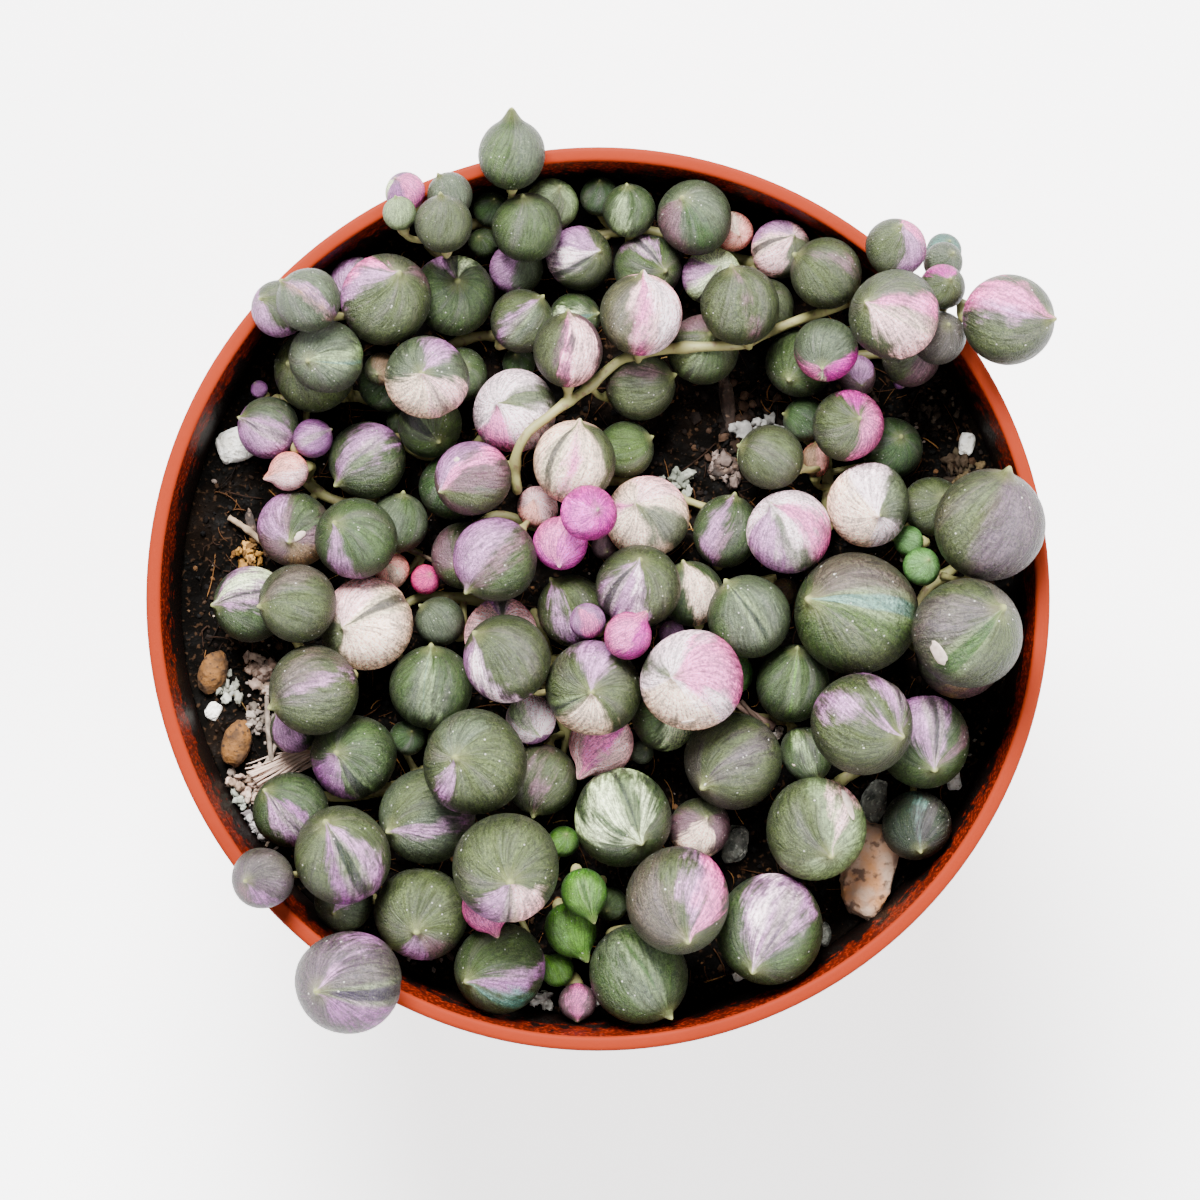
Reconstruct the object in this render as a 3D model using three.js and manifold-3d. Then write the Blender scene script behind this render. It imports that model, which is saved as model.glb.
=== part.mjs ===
// A potted string of pearls: a tapered nursery pot, its soil, stones and bark, and the leafy strands that
// are heaped on it. Each strand is one body: a stem rooted in the soil, leaf stalks and round pointed leaves.
// Millimetres, +Z up. The origin is the centre of the pot's underside, where it stands.

import * as THREE from "three";
import { ConvexGeometry } from "three/addons/geometries/ConvexGeometry.js";
import { mergeVertices } from "three/addons/utils/BufferGeometryUtils.js";
import Module from "manifold-3d";

const wasm = await Module();
wasm.setup();

// ---------------------------------------------------------------- driving dimensions

const POT_HEIGHT = 80;
const RIM_RADIUS = 45.25; // outside of the collar, at its top
const RIM_WIDTH = 1.45; // flat ring seen from above
const WALL_TAPER = 0.17; // radius lost per mm of depth
const WALL = 1.1;
const COLLAR_HEIGHT = 9;
const COLLAR_STEP = 1.2; // how far the collar stands out from the wall
const EDGE = 0.35; // small chamfer on the rim
const FOOT_WIDTH = 4;
const FOOT_HEIGHT = 1; // the floor is raised by this over the foot ring and the centre pad
const FLOOR = 1.1; // thickness of the floor
const PAD_RADIUS = 9;
const DRAIN_HOLES = 6;
const DRAIN_RADIUS = 2.4;
const DRAIN_CIRCLE = 17.5;
const DRAIN_SIDES = 8;
const POT_SIDES = 32;

const SOIL_TOP = 70;
const SOIL_CLEAR = 0.3; // between soil and pot, stones and soil, roots and soil
const SOIL_LUMP = 0.3;
const SOIL_WAVE_X = 2.9; // mm for one radian of the waves that make the soil lumpy
const SOIL_WAVE_Y = 3.7;
const SOIL_WAVE_SLANT = 1.9;
const SOIL_CROSSED = 0.6; // the share of the crossed waves; the slanted wave has the rest
const SOIL_FADE = 4; // how late the lumps fade out towards the wall
const SOIL_RINGS = [0.9, 0.62, 0.32];

const STEM_RADIUS = 0.5;
const STEM_HEIGHT = 1.0; // axis of a creeping stem above the soil
const STALK_RADIUS = 0.36;
const STALK_WIDTH = 0.44; // the corner radius of a stalk drawn with few sides
const ROOT_DEPTH = 4;
const LEAF_CLEAR = 0.12; // least gap between two leaves
const LEAF_LIFT = 2.1; // lowest leaf's underside above the soil, where the stems creep
const TIP_LENGTH = 0.13; // of the leaf's radius
const TIP_SHORTEN = 0.6; // per try, where it would prick something
const TIP_LEAST = 0.01;
const WALL_NUDGE = 1.0; // a leaf that would cut the wall by less leans in, otherwise it lies on the rim
const TIER_HEIGHT = 4.4; // a tier starts this far above the one below it
const SETTLE_PASSES = 500;
const SETTLE_FREE = 0.7; // the share of the passes in which leaves still sink and are pulled home
const SETTLE_PUSH = 0.4;
const SETTLE_SIDEWAYS = 0.3; // of the push in height
const SETTLE_PULL = 0.02;
const SETTLE_SINK = 0.02; // mm per pass
const SETTLE_SPARE = 0.06;
const STALK_CLEAR = 0.15; // between a stalk or the stem on top and another strand
const SCRAP = 0.02; // mm3
const FINE_BLOCK = 8; // stones longer than this get smaller faces
const BLOCK_SWELL = 0.1; // how far a stone is out of round, as a share of its size
const BLOCK_SWELL_UP = 0.06;
const STALK_SUNK = 0.5; // where a stalk starts inside its leaf, as a share of the leaf's half length
const STALK_OUT = 1.1; // how far a stalk runs straight out of its leaf
const STALK_SEARCH = 14;
const STALK_CHECKS = 16;
const STALK_FOOT = 0.8; // the lowest that a stalk may join its stem, above the soil
const STEM_STEP = 3.6;
const STEM_STEPS_LEAST = 5;
const STEM_SIDES = 4;
const STALK_SIDES = 3;
const STALK_STEPS = 2;
const BEAD_STEP = 0.5;
const MERGE_WITHIN = 1e-4; // corners closer than this are one
const MOST_TILT = 0.93; // a tip points at least this little upward: the cosine of its angle
const LEAF_TURNS = [1, 0.85, 1.15, 0.7, 1.3, 0.5, 1.6, 0.3, 0.1];
const VIA_RINGS = [0, 1.2, 2.6, 4.4];
const VIA_WAYS = 8;
const LEAF_FACES = [
  { below: 1.85, sides: 5, bands: [135, 60] },
  { below: 4.15, sides: 6, bands: [150, 95, 46] },
  { below: 5.15, sides: 7, bands: [154, 98, 46] },
  { below: 9, sides: 7, bands: [158, 114, 74, 34] },
];
const HOLE_RADIUS = 0.95; // a root's hole, at its foot
const HOLE_MOUTH = 2.1;
const HOLE_SIDES = 5;
const SPOT_SHARES = [0.2, 0.4, 0.6, 0.8, 1];
const ROOT_BEND = 0.72; // a stem turns from upright to creeping within this share of its first stretch
const TOP_STEM_CURVE = 0.12; // how tightly the stem on top may arch over the leaves, per mm
const CLIMB = [3, 6, 9]; // heights above the soil at which the stem on top still goes straight up

const INNER_RIM = RIM_RADIUS - RIM_WIDTH;

// ---------------------------------------------------------------- the strands
// stem: where it creeps over the soil, [x, y]; it is rooted at the first point.
// leaves: [x, y, radius, tip x, tip y, tier, stretch]. The tip is given from the leaf's centre. Tiers are
// laid one on another, 1 at the bottom, and a leaf sinks as low as the leaves, the wall and the rim let it.
// stretch is the length along the tip over the width, and a height after it holds a leaf that hangs free.

const STRANDS = [
  {
    name: "strand_north_west",
    stem: [[-15.1, 34.1], [-17.0, 35.6], [-14.3, 37.3], [-10.3, 38.2], [-5.8, 38.5]],
    leaves: [
      [-19.2, 40.4, 2.0, -0.9, 1.2, 3], [-19.7, 38.6, 1.7, -0.4, 1.7, 4], [-14.9, 40.1, 2.3, -1.2, 2.1, 3],
      [-15.3, 37.5, 2.9, -0.3, 2.9, 4], [-11.0, 38.9, 1.8, 0.3, 0.9, 1], [-11.3, 36.4, 1.5, -0.4, 0.5, 1],
      [-3.8, 39.9, 2.7, 0.8, 1.6, 1], [-6.9, 37.3, 3.5, -0.4, 2.8, 2], [-8.6, 44.3, 3.4, 0, 4.1, 3, 1.05],
    ],
  },
  {
    name: "strand_north",
    stem: [[-0.8, 36.6], [2.2, 37.1], [5.2, 37.1], [9.2, 36.1], [13.0, 34.7], [16.7, 33.9], [18.7, 34.9]],
    leaves: [
      [-0.2, 40.3, 2.0, 0, 1.4, 1], [3.1, 39.0, 2.7, -0.2, 2.3, 2], [9.5, 39.2, 3.8, -1.2, 1.7, 2],
      [14.2, 36.4, 2.0, 0.5, -0.4, 1], [-1.4, 33.9, 3.3, 1.8, 0.6, 1], [5.3, 33.7, 3.4, 1.6, -0.4, 1],
      [11.4, 32.4, 3.0, 0.6, 0.9, 1], [19.1, 36.7, 3.0, 1.1, 1.2, 1], [16.7, 31.2, 3.0, -0.5, 1.0, 1],
    ],
  },
  {
    name: "strand_north_east",
    stem: [[31.5, 24.0], [28.7, 24.7], [25.0, 24.3], [21.5, 23.5]],
    leaves: [
      [32.7, 25.1, 3.0, 1.2, 1.2, 1], [26.0, 22.5, 2.0, 0.4, -0.9, 1], [30.5, 22.1, 0.7, 0.3, -0.5, 1],
      [20.1, 23.9, 3.4, -1.0, -1.5, 1], [22.6, 24.8, 3.2, -0.4, -1.7, 3],
    ],
  },
  {
    name: "strand_upper_left_rim",
    stem: [[-22.0, 29.8], [-24.6, 28.8], [-27.5, 28.3], [-29.3, 27.4]],
    leaves: [
      [-24.8, 32.4, 2.9, -0.5, -1.2, 1], [-31.3, 28.8, 2.9, -1.8, 0.8, 2], [-28.9, 29.6, 3.2, -3.1, 2.2, 4],
      [-20.5, 29.3, 4.6, 1.3, 2.3, 3],
    ],
  },
  {
    name: "strand_upper_left",
    stem: [[-21.5, 19.8], [-25.0, 20.5], [-28.5, 20.0], [-32.3, 20.2]],
    leaves: [
      [-32.3, 17.8, 3.1, -2.6, 0.9, 1], [-34.1, 21.1, 0.9, -0.4, 0.6, 1], [-21.3, 21.6, 2.8, 0.5, 1.0, 1],
      [-29.1, 22.0, 4.1, -2.3, 0.7, 2], [-27.3, 24.3, 3.7, -1.6, -0.4, 3], [-21.6, 22.9, 1.7, -0.4, -0.5, 3],
    ],
  },
  {
    name: "strand_upper_middle",
    stem: [[-2.5, 27.0], [-7.0, 26.2], [-12.0, 26.5], [-15.5, 25.0], [-16.0, 21.8]],
    leaves: [
      [-8.8, 32.3, 2.7, 0.5, 1.5, 1], [-2.2, 29.4, 2.6, 2.1, 0.4, 1], [-13.1, 22.1, 2.7, 0.3, 0.8, 1],
      [-8.0, 23.3, 1.7, -0.3, 0.8, 1], [-7.8, 28.6, 3.2, 1.9, 2.2, 2], [-13.9, 30.6, 4.1, 0.4, 1.2, 2],
      [-17.4, 22.6, 4.2, -0.4, 0.3, 3],
    ],
  },
  {
    name: "strand_middle_left",
    stem: [[-20.2, 15.8], [-17.0, 14.4], [-13.5, 14.4], [-11.5, 16.5], [-9.5, 18.5]],
    leaves: [
      [-20.0, 17.9, 1.3, -0.3, 0.6, 1], [-15.5, 11.5, 3.4, -0.8, 1.5, 1], [-16.7, 16.5, 3.2, 0.9, -1.5, 2],
      [-8.4, 19.1, 4.2, -1.5, 0.6, 2],
    ],
  },
  {
    name: "strand_left",
    stem: [[-31.0, 14.6], [-28.8, 11.3], [-26.0, 9.8], [-22.5, 9.8], [-20.4, 6.0], [-17.8, 4.4]],
    leaves: [
      [-20.2, 3.3, 1.8, -0.5, 0.7, 1], [-17.4, 2.5, 1.5, 0.5, 0.5, 1], [-19.8, 7.4, 3.0, 0.5, 3.1, 1],
      [-30.4, 7.3, 3.8, -0.4, -1.1, 1], [-23.3, 13.8, 3.9, -3.3, -2.7, 2], [-24.1, 6.1, 4.1, -1.9, 1.4, 2],
      [-28.2, 15.8, 2.0, 2.1, 1.0, 3], [-31.0, 12.8, 2.0, -2.7, -0.8, 3],
    ],
  },
  {
    name: "strand_centre_left",
    stem: [[-13.3, 7.0], [-9.8, 8.4], [-6.0, 7.3], [-2.5, 6.8], [0.2, 6.6]],
    leaves: [
      [-13.9, 4.2, 3.4, -0.6, -1.0, 1], [0.6, 5.3, 1.3, 0.3, -0.5, 1], [-9.6, 4.5, 4.2, -2.7, -3.1, 2],
      [-6.1, 9.2, 2.1, -0.3, 0.7, 3], [-4.6, 5.4, 2.7, -0.1, -2.1, 3], [-1.0, 8.7, 2.8, 0.8, 0.3, 4],
    ],
  },
  {
    name: "strand_centre",
    stem: [[-3.0, 11.6], [0.6, 11.9], [4.5, 11.8], [8.3, 10.2], [11.0, 9.2]],
    leaves: [
      [3.3, 14.7, 2.9, 3.0, 1.4, 1], [5.2, 8.1, 4.2, -1.0, 1.2, 1], [12.7, 6.6, 3.4, 0.8, 3.7, 1, 1.1],
      [-2.9, 14.0, 4.2, 0.5, 3.7, 3],
    ],
  },
  {
    name: "strand_centre_right",
    stem: [[20.8, 16.4], [22.7, 14.6], [23.2, 11.5], [23.4, 8.4], [26.0, 6.3], [30.2, 6.2]],
    leaves: [
      [17.5, 14.4, 3.0, -0.9, 0.8, 1], [20.7, 18.0, 2.2, -2.2, 0.6, 1], [21.4, 14.2, 1.4, 0, 2.2, 1, 1.3],
      [29.1, 15.1, 3.1, 0.8, 1.0, 1], [33.1, 8.7, 3.0, 1.0, 0.8, 1], [17.6, 12.7, 3.3, -3.3, 1.2, 2],
      [18.7, 7.3, 4.2, -1.7, 2.5, 2], [25.3, 17.2, 3.6, 1.0, 0.6, 2], [27.1, 9.6, 4.2, 0.8, -1.0, 3],
      [31.7, 6.1, 1.5, -1.4, 0.1, 3], [31.9, 3.4, 1.9, 0.6, 0.6, 3],
    ],
  },
  {
    name: "strand_east",
    stem: [[36.2, 3.4], [33.2, 1.0], [31.5, -2.5], [29.0, -5.0]],
    leaves: [
      [36.0, -6.1, 4.5, 1.8, -0.6, 1], [36.9, -2.5, 5.5, 3.1, 2.3, 2], [25.2, -0.9, 6.2, -4.4, 1.3, 2],
      [38.8, 6.5, 5.6, 1.8, 5.3, 3],
    ],
  },
  {
    name: "strand_south_east",
    stem: [[23.6, -18.8], [27.0, -16.9], [30.0, -16.8], [32.0, -18.4]],
    leaves: [
      [32.5, -22.3, 3.5, 0.3, -2.3, 1], [32.8, -14.4, 4.6, 0.8, -2.5, 2, 1.06],
      [21.5, -23.4, 5.1, 1.3, -2.4, 2], [26.4, -12.2, 5.0, 3.5, -1.1, 3, 1.06],
    ],
  },
  {
    name: "strand_core",
    stem: [[-0.6, 1.2], [3.0, -0.6], [7.2, -0.2], [11.4, -1.6], [15.0, 1.4], [18.0, 2.2]],
    leaves: [
      [9.9, 0.7, 3.3, -0.7, 2.9, 1], [18.7, 0.7, 1.4, 0.5, 0.6, 1], [14.6, -1.7, 4.2, -2.1, 3.2, 2],
      [3.4, 1.5, 4.2, 0.1, 2.4, 3], [-0.3, -1.8, 1.8, -0.8, 1.2, 3], [3.1, -3.3, 2.4, 2.2, 2.8, 4],
    ],
  },
  {
    name: "strand_south_core",
    stem: [[4.6, -14.0], [9.0, -12.6], [13.5, -11.6], [17.2, -12.2], [19.8, -12.4]],
    leaves: [
      [7.4, -3.4, 1.3, -0.4, 0.6, 1], [14.3, -7.6, 2.1, 1.6, 1.9, 1], [6.7, -11.8, 3.5, 0.5, 1.0, 1],
      [3.9, -15.3, 1.2, 0.4, 0.4, 1], [13.4, -16.9, 4.9, -2.8, -2.4, 1], [19.0, -8.1, 3.6, 0.4, 3.3, 2, 1.15],
      [20.6, -15.9, 2.5, 1.7, -3.3, 2, 1.2], [9.2, -8.0, 5.1, -1.8, 0.3, 4, 1.04],
    ],
  },
  {
    name: "strand_south_west_core",
    stem: [[-6.4, -1.4], [-5.2, -5.4], [-4.4, -9.6], [-3.2, -13.6], [-3.6, -16.0]],
    leaves: [
      [0.4, -14.6, 3.3, -1.8, -2.8, 1], [-9.0, -3.2, 3.7, 0.2, 1.4, 1], [-3.6, -1.5, 3.5, -2.1, 3.1, 2, 1.06],
      [-5.2, -17.5, 3.6, -0.9, -4.2, 1], [-8.7, -6.0, 4.4, -2.9, 2.3, 3], [-0.6, -9.1, 4.8, -0.2, -0.3, 3],
      [-6.7, -12.4, 2.5, 0.9, -1.5, 3],
    ],
  },
  {
    name: "strand_west_core",
    stem: [[-11.5, -0.4], [-13.8, 0.1], [-17.8, 0.2], [-20.0, -1.2], [-20.3, -4.6], [-19.2, -7.6]],
    leaves: [
      [-15.6, -2.5, 2.5, -2.1, 1.7, 1], [-17.1, -8.7, 4.2, 0, 3.8, 1], [-22.7, -2.6, 4.7, -2.0, -0.3, 2],
    ],
  },
  {
    name: "strand_west",
    stem: [[-32.2, -1.0], [-30.2, -4.6], [-28.6, -8.0], [-29.4, -11.6]],
    leaves: [
      [-34.6, -0.5, 3.8, -3.4, -0.1, 1], [-30.6, -13.1, 2.4, -1.6, 1.5, 1], [-30.2, -0.4, 3.9, -3.4, -0.3, 2],
      [-27.9, -9.4, 4.5, -4.3, -1.7, 2],
    ],
  },
  {
    name: "strand_south_west",
    stem: [[-13.6, -14.8], [-17.4, -17.2], [-21.4, -19.2], [-26.0, -20.0], [-29.0, -19.6]],
    leaves: [
      [-19.0, -14.3, 1.8, 0.4, 0.6, 1], [-16.6, -13.9, 1.8, -0.4, 0.9, 1], [-23.2, -16.3, 4.3, -1.5, 0.4, 1],
      [-30.2, -20.7, 3.8, -2.3, 1.8, 1], [-18.1, -21.3, 4.8, -3.5, -1.4, 2, 1.04],
      [-12.4, -16.7, 5.2, -1.7, 0.5, 3, 1.04],
    ],
  },
  {
    name: "strand_south_west_rim",
    stem: [[-28.6, -27.2], [-25.6, -28.4], [-22.6, -30.2], [-20.2, -33.0]],
    leaves: [
      [-26.0, -30.7, 3.0, -0.9, -1.0, 1], [-25.7, -25.8, 4.9, -1.4, 3.1, 2, 1.03],
      [-17.4, -30.8, 4.7, -0.4, -1.6, 1], [-33.3, -27.8, 3.1, -1.5, -0.2, 3],
      [-24.8, -38.1, 5.2, -2.8, -0.7, 3, 1.08],
    ],
  },
  {
    name: "strand_south",
    stem: [[-11.6, -32.6], [-8.4, -31.6], [-6.2, -28.4], [-4.4, -26.2]],
    leaves: [
      [-3.5, -24.4, 1.6, 0.3, 0.7, 1], [-9.6, -36.4, 4.6, -3.0, -1.1, 1],
      [-11.2, -31.6, 2.3, 1.1, -2.6, 2, 1.1], [-9.3, -26.7, 5.4, 0.4, -1.2, 3, 1.03],
    ],
  },
  {
    name: "strand_green_shoot",
    stem: [[0.4, -28.4], [-1.0, -31.6], [-2.8, -35.2], [-3.2, -37.8]],
    leaves: [
      [-3.8, -37.3, 1.7, -1.5, 1.5, 1], [1.3, -30.7, 1.7, -0.4, -0.6, 1], [-2.6, -39.7, 1.9, 0, -2.5, 1],
      [-2.5, -34.1, 2.6, 1.9, -3.5, 2, 1.1], [-1.5, -29.7, 2.3, 0.9, -2.6, 3, 1.1],
    ],
  },
  {
    name: "strand_south_middle",
    stem: [[3.2, -25.0], [6.4, -25.8], [8.0, -28.4], [6.6, -33.2]],
    leaves: [
      [10.6, -22.2, 3.1, 0.6, 1.0, 1], [3.8, -37.4, 4.8, 3.3, -4.4, 1, 1.08],
      [7.9, -30.3, 5.2, 0.9, -3.6, 3, 1.07], [2.4, -21.7, 4.9, 1.7, -2.2, 3, 1.04],
    ],
  },
  {
    name: "strand_south_east_rim",
    stem: [[17.6, -28.6], [18.0, -31.4], [17.8, -34.0]],
    leaves: [[18.1, -33.7, 5.4, -1.6, -3.7, 1, 1.08]],
  },
  {
    name: "strand_on_top",
    stem: [
      [-8.1, 11.1], [-8.3, 12.7], [-8.1, 14.6], [-7.0, 16.6], [-5.0, 18.2], [-3.5, 19.4], [-1.1, 21.1],
      [0.9, 22.9], [2.2, 23.9], [3.5, 24.4], [7.7, 25.1], [11.9, 25.3], [14.2, 25.5], [18.2, 27.2],
      [20.5, 28.1], [23.5, 29.2], [25.2, 29.9], [28.2, 30.6], [31.7, 30.9], [34.7, 30.1], [37.0, 29.4],
    ],
    leaves: [
      [-12.5, 11.7, 3.7, -2.9, -1.2, 3, 1.08], [-3.2, 25.1, 3.4, 0, 4.0, 3, 1.12],
      [4.3, 20.6, 3.5, 3.7, 1.2, 2], [10.3, 24.9, 3.6, 0.6, 1.4, 2],
      [34.2, 26.4, 2.7, 0.8, 1.2, 2], [34.5, 33.7, 2.0, 0.9, 0.8, 3, 1, 80.2],
      [34.7, 34.9, 1.8, 0.5, 0.9, 3, 1, 76.3], [14.2, 29.3, 4.0, -0.8, 3.5, 4], [4.2, 28.3, 4.1, 0.2, 4.1, 4],
      [22.7, 32.9, 3.6, -3.3, 1.9, 3], [29.7, 35.0, 3.0, 0.5, 2.0, 3], [34.3, 31.2, 2.3, 0.7, 0.7, 4],
      [40.4, 27.7, 4.6, 4.0, 0, 4], [29.7, 28.1, 4.5, -2.6, 1.0, 4],
    ],
  },
];
const TOP_STRAND = "strand_on_top";
const GREEN_STRAND = "strand_green_shoot";
const OVER_RIM_FROM = 17; // the stem on top leaves the heap at this point and dips over the rim
const OVER_RIM_HEIGHTS = [83.0, 81.5, 81.3, 81.3];

// ---------------------------------------------------------------- what lies on the soil
// [name, x, y, length, width, height, rise above the soil, turn in degrees, finish]

const LOOSE_PIECES = [
  ["perlite_block_west", -36.4, 15.6, 4.2, 3.3, 2.6, 1.6, 18, "perlite"],
  ["perlite_east", 37.2, 15.6, 2.3, 1.5, 1.5, 0.9, 80, "perlite"],
  ["perlite_south_east", 35.9, -18.2, 2.3, 1.4, 1.5, 0.9, 95, "perlite"],
  ["perlite_north_a", 1.9, 40.8, 1.4, 1.1, 1.1, 0.6, 5, "perlite"],
  ["perlite_north_b", 4.7, 40.4, 1.4, 1.2, 1.1, 0.6, 40, "perlite"],
  ["perlite_south", 14.2, -38.0, 1.2, 1.0, 1.0, 0.6, 25, "perlite"],
  ["perlite_west", -38.8, -11.3, 1.8, 1.5, 1.3, 0.8, 60, "perlite"],
  ["stone_orange", 27.5, -27.2, 9.2, 5.2, 4.4, 2.4, 76, "granite"],
  ["stone_grey_south", 13.8, -24.7, 4.0, 2.5, 2.4, 1.5, 70, "slate"],
  ["stone_grey_east", 27.8, -20.6, 4.4, 2.5, 2.4, 1.5, 72, "slate"],
  ["stone_grey_rim", 22.6, -33.8, 2.3, 1.8, 1.7, 1.0, 100, "slate"],
  ["stone_white", -0.6, -40.3, 2.1, 1.9, 1.7, 1.0, 30, "perlite"],
  ["pellet_upper", -38.8, -7.4, 4.4, 2.9, 2.9, 1.9, 70, "clay"],
  ["pellet_lower", -36.4, -14.6, 4.7, 2.9, 2.9, 1.9, 75, "clay"],
  ["bark_chip_long", 13.0, 19.9, 6.0, 1.4, 1.4, 0.9, 96, "bark"],
  ["bark_chip_middle", 15.2, 16.2, 2.4, 1.6, 1.2, 0.8, 30, "bark"],
  ["bark_chip_low", 12.6, 13.2, 3.2, 2.0, 1.4, 0.9, 15, "bark"],
  ["bark_stick", -35.0, 7.4, 3.2, 0.9, 0.9, 0.7, 100, "bark"],
];
const STRAW = {
  name: "dry_straw",
  points: [[-34.6, -18.6], [-32.4, -17.2], [-30.0, -16.0], [-27.4, -15.0]],
  radius: 0.45,
  sides: 4,
  steps: 4,
};

// ---------------------------------------------------------------- small helpers

function asSolid(geometry) {
  const bare = geometry.clone();
  bare.deleteAttribute("normal");
  bare.deleteAttribute("uv");
  const merged = mergeVertices(bare, MERGE_WITHIN);
  const corners = merged.index.array;
  const kept = [];
  for (let i = 0; i < corners.length; i += 3) {
    const [a, b, c] = [corners[i], corners[i + 1], corners[i + 2]];
    if (a !== b && b !== c && a !== c) kept.push(a, b, c);
  }
  const build = (list) => new wasm.Manifold(new wasm.Mesh({
    numProp: 3,
    vertProperties: Float32Array.from(merged.attributes.position.array),
    triVerts: Uint32Array.from(list),
  }));
  const solid = build(kept);
  return solid.volume() > 0 ? solid : build(kept.slice().reverse());
}

function asGeometry(solid) {
  const mesh = solid.getMesh();
  const geometry = new THREE.BufferGeometry();
  geometry.setAttribute("position", new THREE.BufferAttribute(Float32Array.from(mesh.vertProperties), 3));
  geometry.setIndex(new THREE.BufferAttribute(Uint32Array.from(mesh.triVerts), 1));
  geometry.computeVertexNormals();
  return geometry;
}

function turned(profile, sides) {
  const geometry = new THREE.LatheGeometry(profile.map(([r, z]) => new THREE.Vector2(r, z)), sides);
  return geometry.rotateX(Math.PI / 2);
}

function tubeAlong(path, radius, sides, steps) {
  const section = new THREE.Shape();
  for (let i = 0; i < sides; i += 1) {
    const angle = (2 * Math.PI * i) / sides;
    const [x, y] = [radius * Math.cos(angle), radius * Math.sin(angle)];
    if (i === 0) section.moveTo(x, y);
    else section.lineTo(x, y);
  }
  return new THREE.ExtrudeGeometry(section, { steps, extrudePath: path, bevelEnabled: false });
}

const innerWall = (z) => INNER_RIM - WALL_TAPER * (POT_HEIGHT - z);
const FLAT_SIDE = Math.cos(Math.PI / POT_SIDES); // the middle of a flat side of the pot is nearer by this
const roomInside = (z) => innerWall(Math.min(z, POT_HEIGHT)) * FLAT_SIDE;
const vector = (x, y, z) => new THREE.Vector3(x, y, z);

// ---------------------------------------------------------------- pot and soil

function makePot() {
  const outer = (z) => innerWall(z) + WALL;
  const collarBottom = POT_HEIGHT - COLLAR_HEIGHT;
  const footOuter = outer(0);
  const footInner = footOuter - FOOT_WIDTH;
  const floorTop = FOOT_HEIGHT + FLOOR;
  const profile = [
    [0, 0], [PAD_RADIUS, 0], [PAD_RADIUS + FOOT_HEIGHT, FOOT_HEIGHT], [footInner - FOOT_HEIGHT, FOOT_HEIGHT],
    [footInner, 0], [footOuter - EDGE, 0], [footOuter, EDGE], [outer(collarBottom), collarBottom],
    [outer(collarBottom) + COLLAR_STEP, collarBottom + EDGE], [RIM_RADIUS, POT_HEIGHT - EDGE],
    [RIM_RADIUS - EDGE, POT_HEIGHT], [INNER_RIM + EDGE, POT_HEIGHT], [INNER_RIM, POT_HEIGHT - EDGE],
    [innerWall(floorTop), floorTop], [0, floorTop],
  ];
  let pot = asSolid(turned(profile, POT_SIDES));
  for (let i = 0; i < DRAIN_HOLES; i += 1) {
    const angle = (2 * Math.PI * i) / DRAIN_HOLES;
    const hole = new THREE.CylinderGeometry(DRAIN_RADIUS, DRAIN_RADIUS, 4 * FLOOR, DRAIN_SIDES);
    hole.rotateX(Math.PI / 2);
    hole.translate(DRAIN_CIRCLE * Math.cos(angle), DRAIN_CIRCLE * Math.sin(angle), FOOT_HEIGHT + FLOOR / 2);
    pot = pot.subtract(asSolid(hole));
  }
  return pot;
}

// The soil's top is gently lumpy: two crossed waves, fading out at the wall.
function soilHeight(x, y) {
  const fade = Math.max(0, 1 - ((x * x + y * y) / (INNER_RIM * INNER_RIM)) ** SOIL_FADE);
  const crossed = Math.sin(x / SOIL_WAVE_X) * Math.cos(y / SOIL_WAVE_Y);
  const slanted = Math.sin((x + y) / SOIL_WAVE_SLANT);
  return SOIL_TOP + SOIL_LUMP * fade * (SOIL_CROSSED * crossed + (1 - SOIL_CROSSED) * slanted);
}

function makeSoil(cuts) {
  const bottom = FOOT_HEIGHT + FLOOR + SOIL_CLEAR;
  const edge = innerWall(SOIL_TOP) - SOIL_CLEAR;
  const profile = [
    [0, bottom], [innerWall(bottom) - SOIL_CLEAR, bottom], [edge, SOIL_TOP],
    ...SOIL_RINGS.map((share) => [edge * share, SOIL_TOP]), [0, SOIL_TOP],
  ];
  const geometry = turned(profile, POT_SIDES);
  const place = geometry.attributes.position;
  for (let i = 0; i < place.count; i += 1) {
    if (place.getZ(i) > SOIL_TOP - 1) place.setZ(i, soilHeight(place.getX(i), place.getY(i)));
  }
  let soil = asSolid(geometry);
  for (const cut of cuts) soil = soil.subtract(cut);
  return soil;
}

// ---------------------------------------------------------------- laying the leaves

function readLeaves() {
  const leaves = [];
  for (const strand of STRANDS) {
    for (const [x, y, r, tipX, tipY, tier, stretch = 1, hangs = 0] of strand.leaves) {
      const reach = r * stretch;
      leaves.push({ strand: strand.name, x, y, r, tipX, tipY, tier, stretch, hangs, z: 0, reach });
    }
  }
  return leaves;
}

// The lowest centre height at which a ball clears the rim it lies over, or 0 if it isn't over the rim.
function overRim(x, y, r) {
  const out = Math.hypot(x, y);
  const off = Math.max(INNER_RIM * FLAT_SIDE - out, out - RIM_RADIUS, 0);
  const need = r + LEAF_CLEAR;
  return off < need ? POT_HEIGHT + Math.sqrt(need * need - off * off) : 0;
}

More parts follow.
